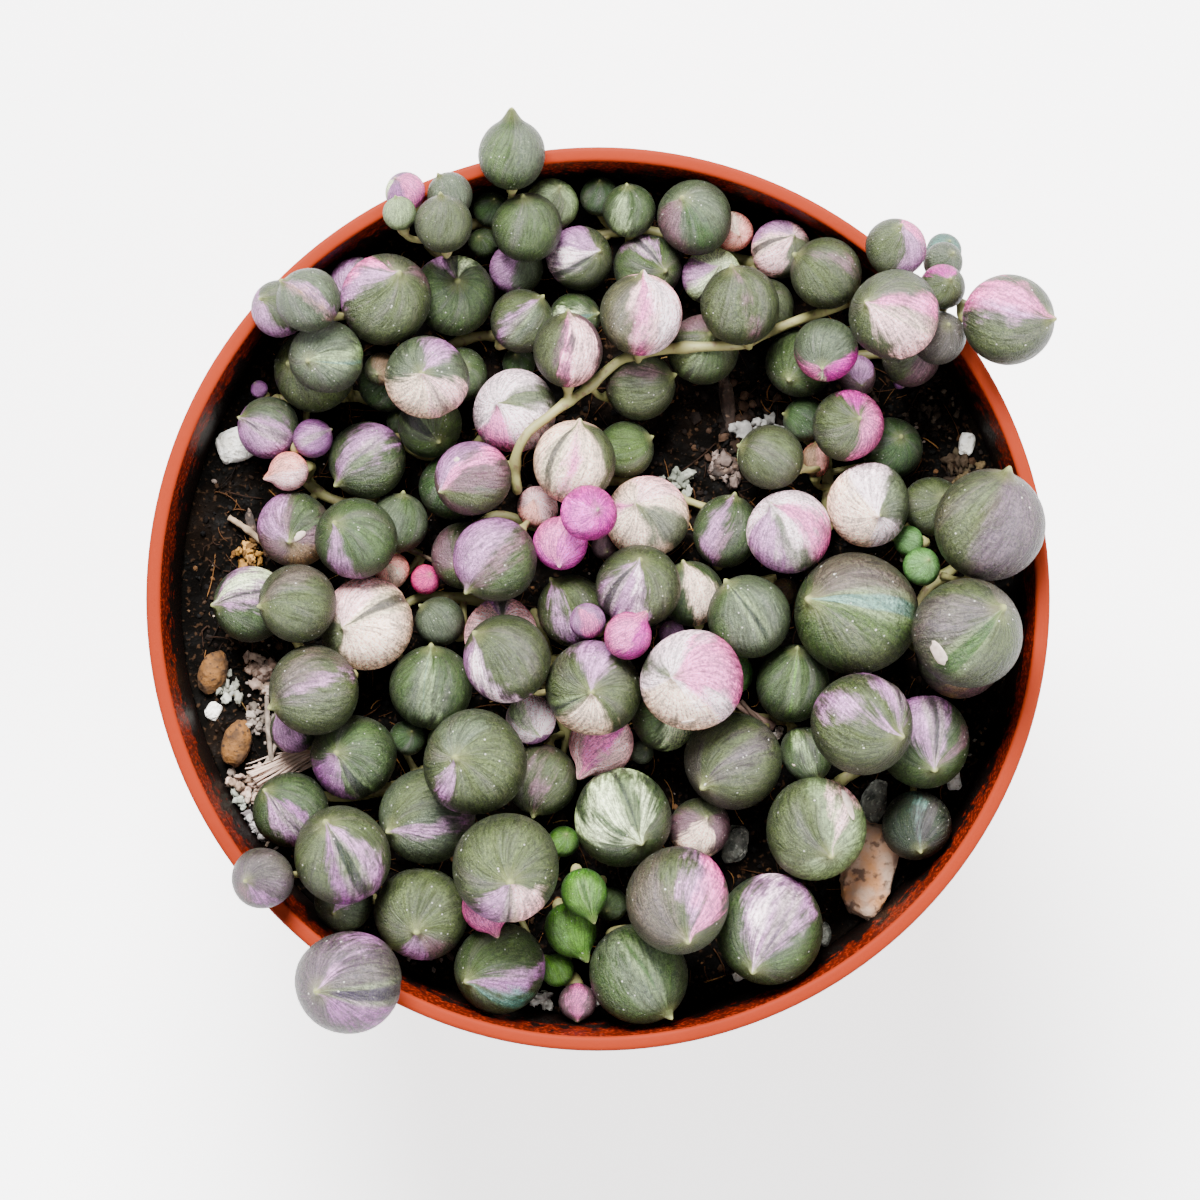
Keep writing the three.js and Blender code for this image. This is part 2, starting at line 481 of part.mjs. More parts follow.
// The heap settles: each leaf starts at its tier's height and sinks, leaves that meet push each other apart,
// more in height than sideways, and a weak pull holds each to its place seen from above.
function settleLeaves(leaves) {
  for (const leaf of leaves) {
    leaf.home = [leaf.x, leaf.y];
    leaf.floor = SOIL_TOP + LEAF_LIFT + leaf.reach;
    leaf.z = leaf.hangs || leaf.floor + (leaf.tier - 1) * TIER_HEIGHT;
    leaf.rim = Math.hypot(leaf.x, leaf.y) + leaf.reach > INNER_RIM + WALL_NUDGE;
  }
  for (let pass = 0; pass < SETTLE_PASSES; pass += 1) {
    const free = pass < SETTLE_PASSES * SETTLE_FREE;
    const moves = leaves.map(() => [0, 0, 0]);
    for (let i = 0; i < leaves.length; i += 1) {
      for (let j = i + 1; j < leaves.length; j += 1) {
        const [one, two] = [leaves[i], leaves[j]];
        const [dx, dy, dz] = [two.x - one.x, two.y - one.y, two.z - one.z];
        const apart = Math.sqrt(dx * dx + dy * dy + dz * dz);
        const short = one.reach + two.reach + LEAF_CLEAR + SETTLE_SPARE - apart;
        if (short > 0) {
          const push = (SETTLE_PUSH * short) / apart;
          const side = push * SETTLE_SIDEWAYS;
          moves[i][0] -= dx * side;
          moves[i][1] -= dy * side;
          moves[i][2] -= dz * push;
          moves[j][0] += dx * side;
          moves[j][1] += dy * side;
          moves[j][2] += dz * push;
        }
      }
    }
    leaves.forEach((leaf, i) => {
      if (leaf.hangs) return;
      const pull = free ? SETTLE_PULL : 0;
      leaf.x += moves[i][0] + pull * (leaf.home[0] - leaf.x);
      leaf.y += moves[i][1] + pull * (leaf.home[1] - leaf.y);
      leaf.z = Math.max(leaf.z + moves[i][2] - (free ? SETTLE_SINK : 0), leaf.floor);
      const out = Math.hypot(leaf.x, leaf.y);
      const onRim = overRim(leaf.x, leaf.y, leaf.reach);
      const over = out + leaf.reach + LEAF_CLEAR - roomInside(leaf.z);
      if (over > 0 && (onRim === 0 || leaf.z < onRim)) {
        if (leaf.rim && onRim > 0) {
          leaf.z = onRim;
        } else {
          leaf.x *= 1 - over / out;
          leaf.y *= 1 - over / out;
        }
      }
    });
  }
}

// The tip's direction: its place seen from above, and upward by what the leaf's roundness leaves.
function aimLeaf(leaf, turn = 1) {
  const flat = Math.hypot(leaf.tipX, leaf.tipY);
  const share = Math.min((turn * flat) / leaf.reach, MOST_TILT);
  const up = Math.sqrt(1 - share * share);
  const scale = flat > 0 ? share / flat : 0;
  leaf.axis = vector(leaf.tipX * scale, leaf.tipY * scale, up).normalize();
}

// ---------------------------------------------------------------- stems and stalks

// The stem on top lies over the leaves it crosses: its height is the lowest arched line over all of them,
// the highest of one parabola over each point where it would rest.
function topStemHeights(strand, leaves) {
  const under = leaves.filter((leaf) => leaf.strand !== strand.name || leaf.tier < 3);
  const rest = strand.stem.map(([x, y]) => {
    let z = SOIL_TOP + STEM_HEIGHT;
    for (const leaf of under) {
      const apart = Math.hypot(leaf.x - x, leaf.y - y);
      const need = leaf.reach + STEM_RADIUS + STALK_CLEAR;
      if (apart < need) z = Math.max(z, leaf.z + Math.sqrt(need * need - apart * apart));
    }
    return z;
  });
  const along = [0];
  for (let i = 1; i < strand.stem.length; i += 1) {
    const [[x0, y0], [x1, y1]] = [strand.stem[i - 1], strand.stem[i]];
    along.push(along[i - 1] + Math.hypot(x1 - x0, y1 - y0));
  }
  return along.map((s, i) => {
    if (i >= OVER_RIM_FROM) return OVER_RIM_HEIGHTS[i - OVER_RIM_FROM];
    return Math.max(...rest.slice(0, OVER_RIM_FROM).map((z, j) => z - TOP_STEM_CURVE * (s - along[j]) ** 2));
  });
}

// Every stem comes straight up out of the soil, then creeps over it. The stem on top first climbs the heap.
function stemPoints(strand, leaves) {
  const [[x0, y0], ...onward] = strand.stem;
  const root = [-ROOT_DEPTH, -ROOT_DEPTH / 2, 0].map((z) => vector(x0, y0, SOIL_TOP + z));
  if (strand.name !== TOP_STRAND) {
    const creep = onward.map(([x, y]) => vector(x, y, SOIL_TOP + STEM_HEIGHT));
    return [...root, creep[0].clone().lerp(vector(x0, y0, SOIL_TOP + STEM_HEIGHT), ROOT_BEND), ...creep];
  }
  const heights = topStemHeights(strand, leaves);
  const climb = CLIMB.map((z) => vector(x0, y0, SOIL_TOP + z));
  return [...root, ...climb, ...onward.map(([x, y], i) => vector(x, y, heights[i + 1]))];
}

// The middle of a stem's flat-sided tube, as spots set closer together than its bends.
function stemSpots(curve) {
  const knots = curve.getSpacedPoints(stemSteps(curve));
  return knots.slice(1).flatMap((knot, i) => SPOT_SHARES.map((share) => knots[i].clone().lerp(knot, share)));
}

const stemSteps = (curve) => Math.max(STEM_STEPS_LEAST, Math.round(curve.getLength() / STEM_STEP));
const stemCurve = (points) => new THREE.CatmullRomCurve3(points, false, "centripetal");

// Balls strung along a curve stand for it when others are kept clear of it.
function beads(curve, radius, strand) {
  const count = Math.ceil(curve.getLength() / BEAD_STEP);
  const string = [];
  for (let i = 0; i <= count; i += 1) string.push({ at: curve.getPoint(i / count), radius, strand });
  return string;
}

function insidePot(at, radius) {
  const out = Math.hypot(at.x, at.y);
  const room = radius + STALK_CLEAR;
  if (at.z < SOIL_TOP + SOIL_LUMP + room) return false;
  return at.z > POT_HEIGHT + room || out > RIM_RADIUS + room || out < roomInside(at.z) - room;
}

function isClear(curve, leaf, obstacles) {
  const centre = vector(leaf.x, leaf.y, leaf.z);
  for (let i = 0; i <= STALK_CHECKS; i += 1) {
    const at = curve.getPoint(i / STALK_CHECKS);
    if (at.distanceTo(centre) > leaf.r && !insidePot(at, STALK_RADIUS)) return false;
    for (const ball of obstacles) {
      if (ball.strand === leaf.strand) continue;
      if (at.distanceTo(ball.at) < ball.radius + STALK_RADIUS + STALK_CLEAR) return false;
    }
  }
  return true;
}

// A stalk leaves the leaf opposite its tip, bends down to where the stems creep, and joins its own stem.
// Of the ways that are clear of every other strand, the shortest is taken. Where none is, the leaf turns a
// little about its centre.
function growStalk(leaf, spots, obstacles) {
  const centre = vector(leaf.x, leaf.y, leaf.z);
  for (const turn of LEAF_TURNS) {
    aimLeaf(leaf, turn);
    const start = centre.clone().addScaledVector(leaf.axis, -STALK_SUNK * leaf.reach);
    const out = centre.clone().addScaledVector(leaf.axis, -leaf.reach - STALK_OUT);
    const near = obstacles.filter((ball) => ball.at.distanceTo(out) < STALK_SEARCH + ball.radius);
    const turns = [];
    for (const ring of VIA_RINGS) {
      for (let i = 0; i < VIA_WAYS; i += 1) {
        const angle = (2 * Math.PI * i) / VIA_WAYS;
        const [x, y] = [out.x + ring * Math.cos(angle), out.y + ring * Math.sin(angle)];
        turns.push(vector(x, y, SOIL_TOP + STEM_HEIGHT));
        turns.push(vector(x, y, out.z));
      }
    }
    let best = null;
    let least = Infinity;
    for (const via of turns) {
      const foot = spots.reduce((a, b) => (b.distanceTo(via) < a.distanceTo(via) ? b : a));
      const length = out.distanceTo(via) + via.distanceTo(foot);
      if (length >= least) continue;
      const curve = new THREE.CubicBezierCurve3(start, out, via, foot);
      if (isClear(curve, leaf, near)) [best, least] = [curve, length];
    }
    if (best) return best;
  }
  throw new Error(`no clear way for the stalk of the leaf at ${leaf.x}, ${leaf.y} in ${leaf.strand}`);
}

// A tip is shortened where it would prick the leaf beside it.
function tipLength(leaf, leaves) {
  let length = TIP_LENGTH * leaf.r;
  const centre = vector(leaf.x, leaf.y, leaf.z);
  const tip = (long) => centre.clone().addScaledVector(leaf.axis, leaf.reach + long + LEAF_CLEAR);
  const pricks = (long) => leaves.some((other) => other !== leaf
    && tip(long).distanceTo(vector(other.x, other.y, other.z)) < other.reach);
  while (length > TIP_LEAST && (pricks(length) || !insidePot(tip(length), 0))) length *= TIP_SHORTEN;
  return length;
}

// A leaf is the hull of a few rings round the line from its stalk to its tip, flat where the stalk joins it.
function makeLeaf(leaf, leaves) {
  const { sides, bands } = LEAF_FACES.find((faces) => leaf.r < faces.below);
  const long = leaf.r * leaf.stretch;
  const points = [vector(0, 0, long + tipLength(leaf, leaves))];
  for (const band of bands) {
    const angle = THREE.MathUtils.degToRad(band);
    for (let i = 0; i < sides; i += 1) {
      const around = (2 * Math.PI * i) / sides;
      const wide = leaf.r * Math.sin(angle);
      points.push(vector(wide * Math.cos(around), wide * Math.sin(around), long * Math.cos(angle)));
    }
  }
  const geometry = new ConvexGeometry(points);
  const turn = new THREE.Quaternion().setFromUnitVectors(vector(0, 0, 1), leaf.axis);
  geometry.applyQuaternion(turn).translate(leaf.x, leaf.y, leaf.z);
  return asSolid(geometry);
}

// Joining can leave a crumb with no real volume, which is dropped.
function withoutScraps(solid, name) {
  const bodies = solid.decompose().filter((body) => body.volume() > SCRAP);
  if (bodies.length !== 1) throw new Error(`${name} is ${bodies.length} bodies`);
  return bodies[0];
}

function makeStrands() {
  const leaves = readLeaves();
  settleLeaves(leaves);
  const obstacles = leaves.map((leaf) => (
    { at: vector(leaf.x, leaf.y, leaf.z), radius: leaf.reach, strand: leaf.strand }));
  const curves = new Map();
  for (const strand of STRANDS) {
    curves.set(strand.name, stemCurve(stemPoints(strand, leaves)));
    obstacles.push(...beads(curves.get(strand.name), STEM_RADIUS, strand.name));
  }
  for (const [, x, y, length, width, height, rise] of LOOSE_PIECES) {
    const radius = Math.max(length, width, height) / 2;
    obstacles.push({ at: vector(x, y, SOIL_TOP + rise - radius), radius, strand: "" });
  }
  const stalks = new Map(STRANDS.map((strand) => [strand.name, []]));
  for (const leaf of leaves) {
    const spots = stemSpots(curves.get(leaf.strand)).filter((spot) => spot.z > SOIL_TOP + STALK_FOOT);
    const stalk = growStalk(leaf, spots, obstacles);
    stalks.get(leaf.strand).push(stalk);
    obstacles.push(...beads(stalk, STALK_RADIUS, leaf.strand));
  }
  return STRANDS.map((strand) => {
    const curve = curves.get(strand.name);
    let solid = asSolid(tubeAlong(curve, STEM_RADIUS, STEM_SIDES, stemSteps(curve)));
    for (const stalk of stalks.get(strand.name)) {
      solid = solid.add(asSolid(tubeAlong(stalk, STALK_WIDTH, STALK_SIDES, STALK_STEPS)));
    }
    for (const leaf of leaves) {
      if (leaf.strand === strand.name) solid = solid.add(makeLeaf(leaf, leaves));
    }
    return { strand, solid: withoutScraps(solid, strand.name) };
  });
}

// ---------------------------------------------------------------- stones, bark and straw

// A rounded block: a ball of flat faces, pulled out of round by two crossed waves, then stretched to size.
function makeBlock([, x, y, length, width, height, rise, turn], spare = 0) {
  const geometry = new THREE.IcosahedronGeometry(1, length > FINE_BLOCK ? 1 : 0);
  const place = geometry.attributes.position;
  for (let i = 0; i < place.count; i += 1) {
    const [px, py, pz] = [place.getX(i), place.getY(i), place.getZ(i)];
    const crossed = BLOCK_SWELL * Math.sin(3 * px + x) * Math.cos(2 * py + y);
    const swell = 1 + crossed + BLOCK_SWELL_UP * Math.sin(4 * pz + x - y);
    place.setXYZ(i, px * swell, py * swell, pz * swell);
  }
  geometry.scale(length / 2 + spare, width / 2 + spare, height / 2 + spare);
  geometry.rotateZ(THREE.MathUtils.degToRad(turn));
  geometry.translate(x, y, SOIL_TOP + rise - height / 2);
  return asSolid(geometry);
}

function makeStraw() {
  const z = SOIL_TOP + SOIL_LUMP + SOIL_CLEAR + STRAW.radius;
  const curve = stemCurve(STRAW.points.map(([x, y]) => vector(x, y, z)));
  return asSolid(tubeAlong(curve, STRAW.radius, STRAW.sides, STRAW.steps));
}

// ---------------------------------------------------------------- materials and the whole

const finish = (color, roughness) => new THREE.MeshStandardMaterial({ color, roughness, metalness: 0 });
const FINISHES = {
  pot: finish("#d9683f", 0.55),
  soil: finish("#1c1512", 0.95),
  perlite: finish("#ece9e2", 0.9),
  granite: finish("#d8a487", 0.85),
  slate: finish("#8e908c", 0.85),
  clay: finish("#b07a4a", 0.8),
  bark: finish("#5a4234", 0.9),
  straw: finish("#cbb69a", 0.85),
  leaves: finish("#7c8870", 0.4),
  greenLeaves: finish("#6da648", 0.4),
};

const potted = new THREE.Group();
potted.name = "potted_string_of_pearls";

function place(name, solid, material) {
  const mesh = new THREE.Mesh(asGeometry(solid), material);
  mesh.name = name;
  potted.add(mesh);
}

place("pot", makePot(), FINISHES.pot);
const strands = makeStrands();
const pockets = LOOSE_PIECES.map((piece) => makeBlock(piece, SOIL_CLEAR));
const rootHoles = STRANDS.map((strand) => {
  const [x, y] = strand.stem[0];
  const deep = ROOT_DEPTH + SOIL_CLEAR + SOIL_LUMP;
  const hole = new THREE.CylinderGeometry(HOLE_MOUTH, HOLE_RADIUS, deep, HOLE_SIDES).rotateX(Math.PI / 2);
  return asSolid(hole.translate(x, y, SOIL_TOP + SOIL_LUMP - deep / 2));
});
place("soil", makeSoil([...pockets, ...rootHoles]), FINISHES.soil);
for (const piece of LOOSE_PIECES) place(piece[0], makeBlock(piece), FINISHES[piece[8]]);
place(STRAW.name, makeStraw(), FINISHES.straw);
for (const { strand, solid } of strands) {
  place(strand.name, solid, strand.name === GREEN_STRAND ? FINISHES.greenLeaves : FINISHES.leaves);
}

export default potted;
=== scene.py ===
import bpy
import numpy as np
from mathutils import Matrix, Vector


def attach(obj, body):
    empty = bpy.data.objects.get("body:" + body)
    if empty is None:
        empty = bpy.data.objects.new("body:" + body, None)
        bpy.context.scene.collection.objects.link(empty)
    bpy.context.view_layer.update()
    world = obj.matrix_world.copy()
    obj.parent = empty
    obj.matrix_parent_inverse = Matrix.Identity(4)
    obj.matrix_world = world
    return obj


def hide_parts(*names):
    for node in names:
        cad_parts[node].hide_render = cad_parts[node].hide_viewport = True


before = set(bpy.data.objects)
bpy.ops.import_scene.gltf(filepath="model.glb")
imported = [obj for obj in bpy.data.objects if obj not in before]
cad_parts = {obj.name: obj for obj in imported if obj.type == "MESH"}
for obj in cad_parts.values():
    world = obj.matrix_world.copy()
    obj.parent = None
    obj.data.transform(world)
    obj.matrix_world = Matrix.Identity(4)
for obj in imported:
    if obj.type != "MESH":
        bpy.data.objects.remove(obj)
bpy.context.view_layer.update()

bl_info = {
    "name": "Potted string of pearls",
    "version": (1, 0, 0),
    "blender": (4, 5, 0),
    "location": "3D View > Sidebar > Pearls",
    "description": "Builds the leaves, stems, soil, stones and pot of a variegated string of pearls",
    "category": "Object",
}

MM = 0.001

# ------------------------------------------------------------------ sizes shared with the solids, in mm

POT_HEIGHT = 80.0
RIM_RADIUS = 45.25
RIM_WIDTH = 1.45
WALL_TAPER = 0.17
WALL = 1.1
COLLAR_HEIGHT = 9.0
COLLAR_STEP = 1.2
EDGE = 0.35
FOOT_WIDTH = 4.0
FOOT_HEIGHT = 1.0
FLOOR = 1.1
PAD_RADIUS = 9.0
DRAIN_HOLES = 6
DRAIN_RADIUS = 2.4
DRAIN_CIRCLE = 17.5
POT_SIDES = 32
INNER_RIM = RIM_RADIUS - RIM_WIDTH

SOIL_TOP = 70.0
SOIL_CLEAR = 0.3
SOIL_LUMP = 0.3
SOIL_WAVE_X = 2.9
SOIL_WAVE_Y = 3.7
SOIL_WAVE_SLANT = 1.9
SOIL_CROSSED = 0.6
SOIL_FADE = 4

STEM_RADIUS = 0.5
STEM_HEIGHT = 1.0
STALK_RADIUS = 0.36
ROOT_DEPTH = 4.0
LEAF_CLEAR = 0.12
LEAF_LIFT = 2.1
TIP_LENGTH = 0.13
TIP_SHORTEN = 0.6
TIP_LEAST = 0.01
WALL_NUDGE = 1.0
TIER_HEIGHT = 4.4
SETTLE_PASSES = 500
SETTLE_FREE = 0.7
SETTLE_PUSH = 0.4
SETTLE_SIDEWAYS = 0.3
SETTLE_PULL = 0.02
SETTLE_SINK = 0.02
SETTLE_SPARE = 0.06
STALK_CLEAR = 0.15
STALK_SUNK = 0.5
STALK_OUT = 1.1
STALK_SEARCH = 14.0
STALK_CHECKS = 16
STALK_FOOT = 0.8
STEM_STEP = 3.6
STEM_STEPS_LEAST = 5
BEAD_STEP = 0.5
MOST_TILT = 0.93
LEAF_TURNS = (1, 0.85, 1.15, 0.7, 1.3, 0.5, 1.6, 0.3, 0.1)
VIA_RINGS = (0, 1.2, 2.6, 4.4)
VIA_WAYS = 8
SPOT_SHARES = (0.2, 0.4, 0.6, 0.8, 1)
ROOT_BEND = 0.72
TOP_STEM_CURVE = 0.12
CLIMB = (3, 6, 9)
ARC_PARTS = 200  # a curve's length is added up over this many parts

# ------------------------------------------------------------------ the strands
# stem: where it creeps over the soil; it is rooted at the first point.
# leaves: x, y, radius, tip x, tip y (from the leaf's centre), tier, look, then stretch and a hanging leaf's
# height where it has them. A look is the leaf's ground tone, then sectors that run from the tip to the
# stalk: a tone, the direction in which the sector leaves the tip as seen from above, in degrees from +X,
# and half its width. A tone that ends in "window" is the clear line through which light enters the leaf.

STRANDS = {
    "strand_north_west": (
        [(-15.1, 34.1), (-17.0, 35.6), (-14.3, 37.3), (-10.3, 38.2), (-5.8, 38.5)],
        [(-19.2, 40.4, 2.0, -0.9, 1.2, 3, "violet; pink 0 50; white 200 20"),
         (-19.7, 38.6, 1.7, -0.4, 1.7, 4, "pale_green; cream 90 60"),
         (-14.9, 40.1, 2.3, -1.2, 2.1, 3, "grey_green; lilac 120 20"),
         (-15.3, 37.5, 2.9, -0.3, 2.9, 4, "olive; lilac 150 22"),
         (-11.0, 38.9, 1.8, 0.3, 0.9, 1, "dark_green"),
         (-11.3, 36.4, 1.5, -0.4, 0.5, 1, "green"),
         (-3.8, 39.9, 2.7, 0.8, 1.6, 1, "pale_green; olive 260 40"),
         (-6.9, 37.3, 3.5, -0.4, 2.8, 2, "olive_green; pale_green 100 16"),
         (-8.6, 44.3, 3.4, 0, 4.1, 3, "grey_green; leaf_green 250 60; pointed", 1.05)]),
    "strand_north": (
        [(-0.8, 36.6), (2.2, 37.1), (5.2, 37.1), (9.2, 36.1), (13.0, 34.7), (16.7, 33.9), (18.7, 34.9)],
        [(-0.2, 40.3, 2.0, 0, 1.4, 1, "dark_green"),
         (3.1, 39.0, 2.7, -0.2, 2.3, 2, "green; pale_green 250 30"),
         (9.5, 39.2, 3.8, -1.2, 1.7, 2, "grey_green; mauve 228 34; dark_green 292 26"),
         (14.2, 36.4, 2.0, 0.5, -0.4, 1, "salmon; cream 120 40"),
         (-1.4, 33.9, 3.3, 1.8, 0.6, 1, "olive; lilac 165 60; pink_white 190 20; window 218 7"),
         (5.3, 33.7, 3.4, 1.6, -0.4, 1, "olive_green; lilac 120 18; window 120 7"),
         (11.4, 32.4, 3.0, 0.6, 0.9, 1, "white; lilac 180 30; window 250 14"),
         (19.1, 36.7, 3.0, 1.1, 1.2, 1, "pink_cream; green 310 48; lilac 120 40; window 186 8"),
         (16.7, 31.2, 3.0, -0.5, 1.0, 1, "olive")]),
    "strand_north_east": (
        [(31.5, 24.0), (28.7, 24.7), (25.0, 24.3), (21.5, 23.5)],
        [(32.7, 25.1, 3.0, 1.2, 1.2, 1, "mauve; olive 200 50"),
         (26.0, 22.5, 2.0, 0.4, -0.9, 1, "mauve; lilac 90 60"),
         (30.5, 22.1, 0.7, 0.3, -0.5, 1, "violet"),
         (20.1, 23.9, 3.4, -1.0, -1.5, 1, "olive_green; green 270 60"),
         (22.6, 24.8, 3.2, -0.4, -1.7, 3, "grey_green; magenta 315 55; pink 225 50; white 270 8")]),
    "strand_upper_left_rim": (
        [(-22.0, 29.8), (-24.6, 28.8), (-27.5, 28.3), (-29.3, 27.4)],
        [(-24.8, 32.4, 2.9, -0.5, -1.2, 1, "green; lilac 120 50; teal_window 60 24"),
         (-31.3, 28.8, 2.9, -1.8, 0.8, 2, "olive; lilac 200 90"),
         (-28.9, 29.6, 3.2, -3.1, 2.2, 4, "grey_green; lilac 345 22; tan 330 12"),
         (-20.5, 29.3, 4.6, 1.3, 2.3, 3, "olive; lilac 172 26; pink 140 14; mauve 20 20")]),
    "strand_upper_left": (
        [(-21.5, 19.8), (-25.0, 20.5), (-28.5, 20.0), (-32.3, 20.2)],
        [(-32.3, 17.8, 3.1, -2.6, 0.9, 1, "lilac; green 52 44; window 322 9"),
         (-34.1, 21.1, 0.9, -0.4, 0.6, 1, "violet"),
         (-21.3, 21.6, 2.8, 0.5, 1.0, 1, "dark_green"),
         (-29.1, 22.0, 4.1, -2.3, 0.7, 2, "olive; grey_green 30 40"),
         (-27.3, 24.3, 3.7, -1.6, -0.4, 3, "grey_green; pale_green 10 16; teal_window 352 4"),
         (-21.6, 22.9, 1.7, -0.4, -0.5, 3, "tan; olive 200 80")]),
    "strand_upper_middle": (
        [(-2.5, 27.0), (-7.0, 26.2), (-12.0, 26.5), (-15.5, 25.0), (-16.0, 21.8)],
        [(-8.8, 32.3, 2.7, 0.5, 1.5, 1, "grey_green; lilac 200 60"),
         (-2.2, 29.4, 2.6, 2.1, 0.4, 1, "green; white 168 20; teal_window 196 16"),
         (-13.1, 22.1, 2.7, 0.3, 0.8, 1, "green"),
         (-8.0, 23.3, 1.7, -0.3, 0.8, 1, "dark_green"),
         (-7.8, 28.6, 3.2, 1.9, 2.2, 2, "olive; lilac 205 22; grey_green 255 16; window 228 5"),
         (-13.9, 30.6, 4.1, 0.4, 1.2, 2, "green; lilac 120 22; white 70 22; window 94 8"),
         (-17.4, 22.6, 4.2, -0.4, 0.3, 3,
          "grey_green; cream 250 60; pink_cream 310 30; lilac 60 18; window 302 4")]),
    "strand_middle_left": (
        [(-20.2, 15.8), (-17.0, 14.4), (-13.5, 14.4), (-11.5, 16.5), (-9.5, 18.5)],
        [(-20.0, 17.9, 1.3, -0.3, 0.6, 1, "green"),
         (-15.5, 11.5, 3.4, -0.8, 1.5, 1, "dark_green"),
         (-16.7, 16.5, 3.2, 0.9, -1.5, 2, "leaf_green; green 150 40; window 148 16"),
         (-8.4, 19.1, 4.2, -1.5, 0.6, 2, "pink_white; olive_green 22 26; pink 255 30")]),
    "strand_left": (
        [(-31.0, 14.6), (-28.8, 11.3), (-26.0, 9.8), (-22.5, 9.8), (-20.4, 6.0), (-17.8, 4.4)],
        [(-20.2, 3.3, 1.8, -0.5, 0.7, 1, "salmon; cream 300 40"),
         (-17.4, 2.5, 1.5, 0.5, 0.5, 1, "rose"),
         (-19.8, 7.4, 3.0, 0.5, 3.1, 1, "grey_green; green 300 30"),
         (-30.4, 7.3, 3.8, -0.4, -1.1, 1, "mauve; green 62 34; lilac 140 30; tan 300 40"),
         (-23.3, 13.8, 3.9, -3.3, -2.7, 2, "olive_green; lilac 80 34; lilac 20 10; window 64 8"),
         (-24.1, 6.1, 4.1, -1.9, 1.4, 2, "green; lilac 258 20"),
         (-28.2, 15.8, 2.0, 2.1, 1.0, 3, "violet; lilac 190 40; window 205 7"),
         (-31.0, 12.8, 2.0, -2.7, -0.8, 3, "pink_cream; salmon 60 50; pink 200 40; pointed")]),
    "strand_centre_left": (
        [(-13.3, 7.0), (-9.8, 8.4), (-6.0, 7.3), (-2.5, 6.8), (0.2, 6.6)],
        [(-13.9, 4.2, 3.4, -0.6, -1.0, 1, "olive; mauve 150 40"),
         (0.6, 5.3, 1.3, 0.3, -0.5, 1, "mauve"),
         (-9.6, 4.5, 4.2, -2.7, -3.1, 2, "olive_green; lilac 110 40; mauve 30 26"),
         (-6.1, 9.2, 2.1, -0.3, 0.7, 3, "pink_cream; salmon 250 50"),
         (-4.6, 5.4, 2.7, -0.1, -2.1, 3, "orchid; pink 120 40"),
         (-1.0, 8.7, 2.8, 0.8, 0.3, 4, "magenta; orchid 200 50")]),
    "strand_centre": (
        [(-3.0, 11.6), (0.6, 11.9), (4.5, 11.8), (8.3, 10.2), (11.0, 9.2)],
        [(3.3, 14.7, 2.9, 3.0, 1.4, 1, "leaf_green"),
         (5.2, 8.1, 4.2, -1.0, 1.2, 1, "cream; pink_cream 60 40; grey_green 320 34; pink 180 16"),
         (12.7, 6.6, 3.4, 0.8, 3.7, 1, "green; lilac 222 26; mauve 245 10", 1.1),
         (-2.9, 14.0, 4.2, 0.5, 3.7, 3, "cream; pink 262 12; olive_green 350 24; window 205 6")]),
    "strand_centre_right": (
        [(20.8, 16.4), (22.7, 14.6), (23.2, 11.5), (23.4, 8.4), (26.0, 6.3), (30.2, 6.2)],
        [(17.5, 14.4, 3.0, -0.9, 0.8, 1, "white; lilac 60 60"),
         (20.7, 18.0, 2.2, -2.2, 0.6, 1, "dark_green"),
         (21.4, 14.2, 1.4, 0, 2.2, 1, "salmon; tan 240 60", 1.3),
         (29.1, 15.1, 3.1, 0.8, 1.0, 1, "dark_green"),
         (33.1, 8.7, 3.0, 1.0, 0.8, 1, "olive"),
         (17.6, 12.7, 3.3, -3.3, 1.2, 2, "olive"),
         (18.7, 7.3, 4.2, -1.7, 2.5, 2, "pink_white; pink 350 30; grey_green 285 18; lilac 240 26"),
         (25.3, 17.2, 3.6, 1.0, 0.6, 2, "olive; pink 350 80; magenta 95 22"),
         (27.1, 9.6, 4.2, 0.8, -1.0, 3, "pink_white; green 20 44; cream 200 70"),
         (31.7, 6.1, 1.5, -1.4, 0.1, 3, "bright_green"),
         (31.9, 3.4, 1.9, 0.6, 0.6, 3, "bright_green")]),
    "strand_east": (
        [(36.2, 3.4), (33.2, 1.0), (31.5, -2.5), (29.0, -5.0)],
        [(36.0, -6.1, 4.5, 1.8, -0.6, 1, "mauve; grey_green 180 50; tan 250 14"),
         (36.9, -2.5, 5.5, 3.1, 2.3, 2, "olive; haze 66 50; dusk 178 36; green_window 238 13"),
         (25.2, -0.9, 6.2, -4.4, 1.3, 2, "leaf_green; haze 62 46; olive 296 22; teal_window 9 11"),
         (38.8, 6.5, 5.6, 1.8, 5.3, 3, "haze; olive 200 40; violet_grey 310 70")]),
    "strand_south_east": (
        [(23.6, -18.8), (27.0, -16.9), (30.0, -16.8), (32.0, -18.4)],
        [(32.5, -22.3, 3.5, 0.3, -2.3, 1, "deep_green; teal 95 10"),
         (32.8, -14.4, 4.6, 0.8, -2.5, 2, "green; lilac 98 42; mauve 30 12; window 80 6", 1.06),
         (21.5, -23.4, 5.1, 1.3, -2.4, 2, "pale_green; olive 150 60; pink_cream 60 14"),
         (26.4, -12.2, 5.0, 3.5, -1.1, 3, "olive; lilac 140 10; lilac 75 14; window 68 4", 1.06)]),
    "strand_core": (
        [(-0.6, 1.2), (3.0, -0.6), (7.2, -0.2), (11.4, -1.6), (15.0, 1.4), (18.0, 2.2)],
        [(9.9, 0.7, 3.3, -0.7, 2.9, 1, "green; cream 308 46"),
         (18.7, 0.7, 1.4, 0.5, 0.6, 1, "tan"),
         (14.6, -1.7, 4.2, -2.1, 3.2, 2, "grey_green; green 200 40; window 316 8"),
         (3.4, 1.5, 4.2, 0.1, 2.4, 3, "olive; lilac 236 44; pink_white 262 6; window 214 6"),
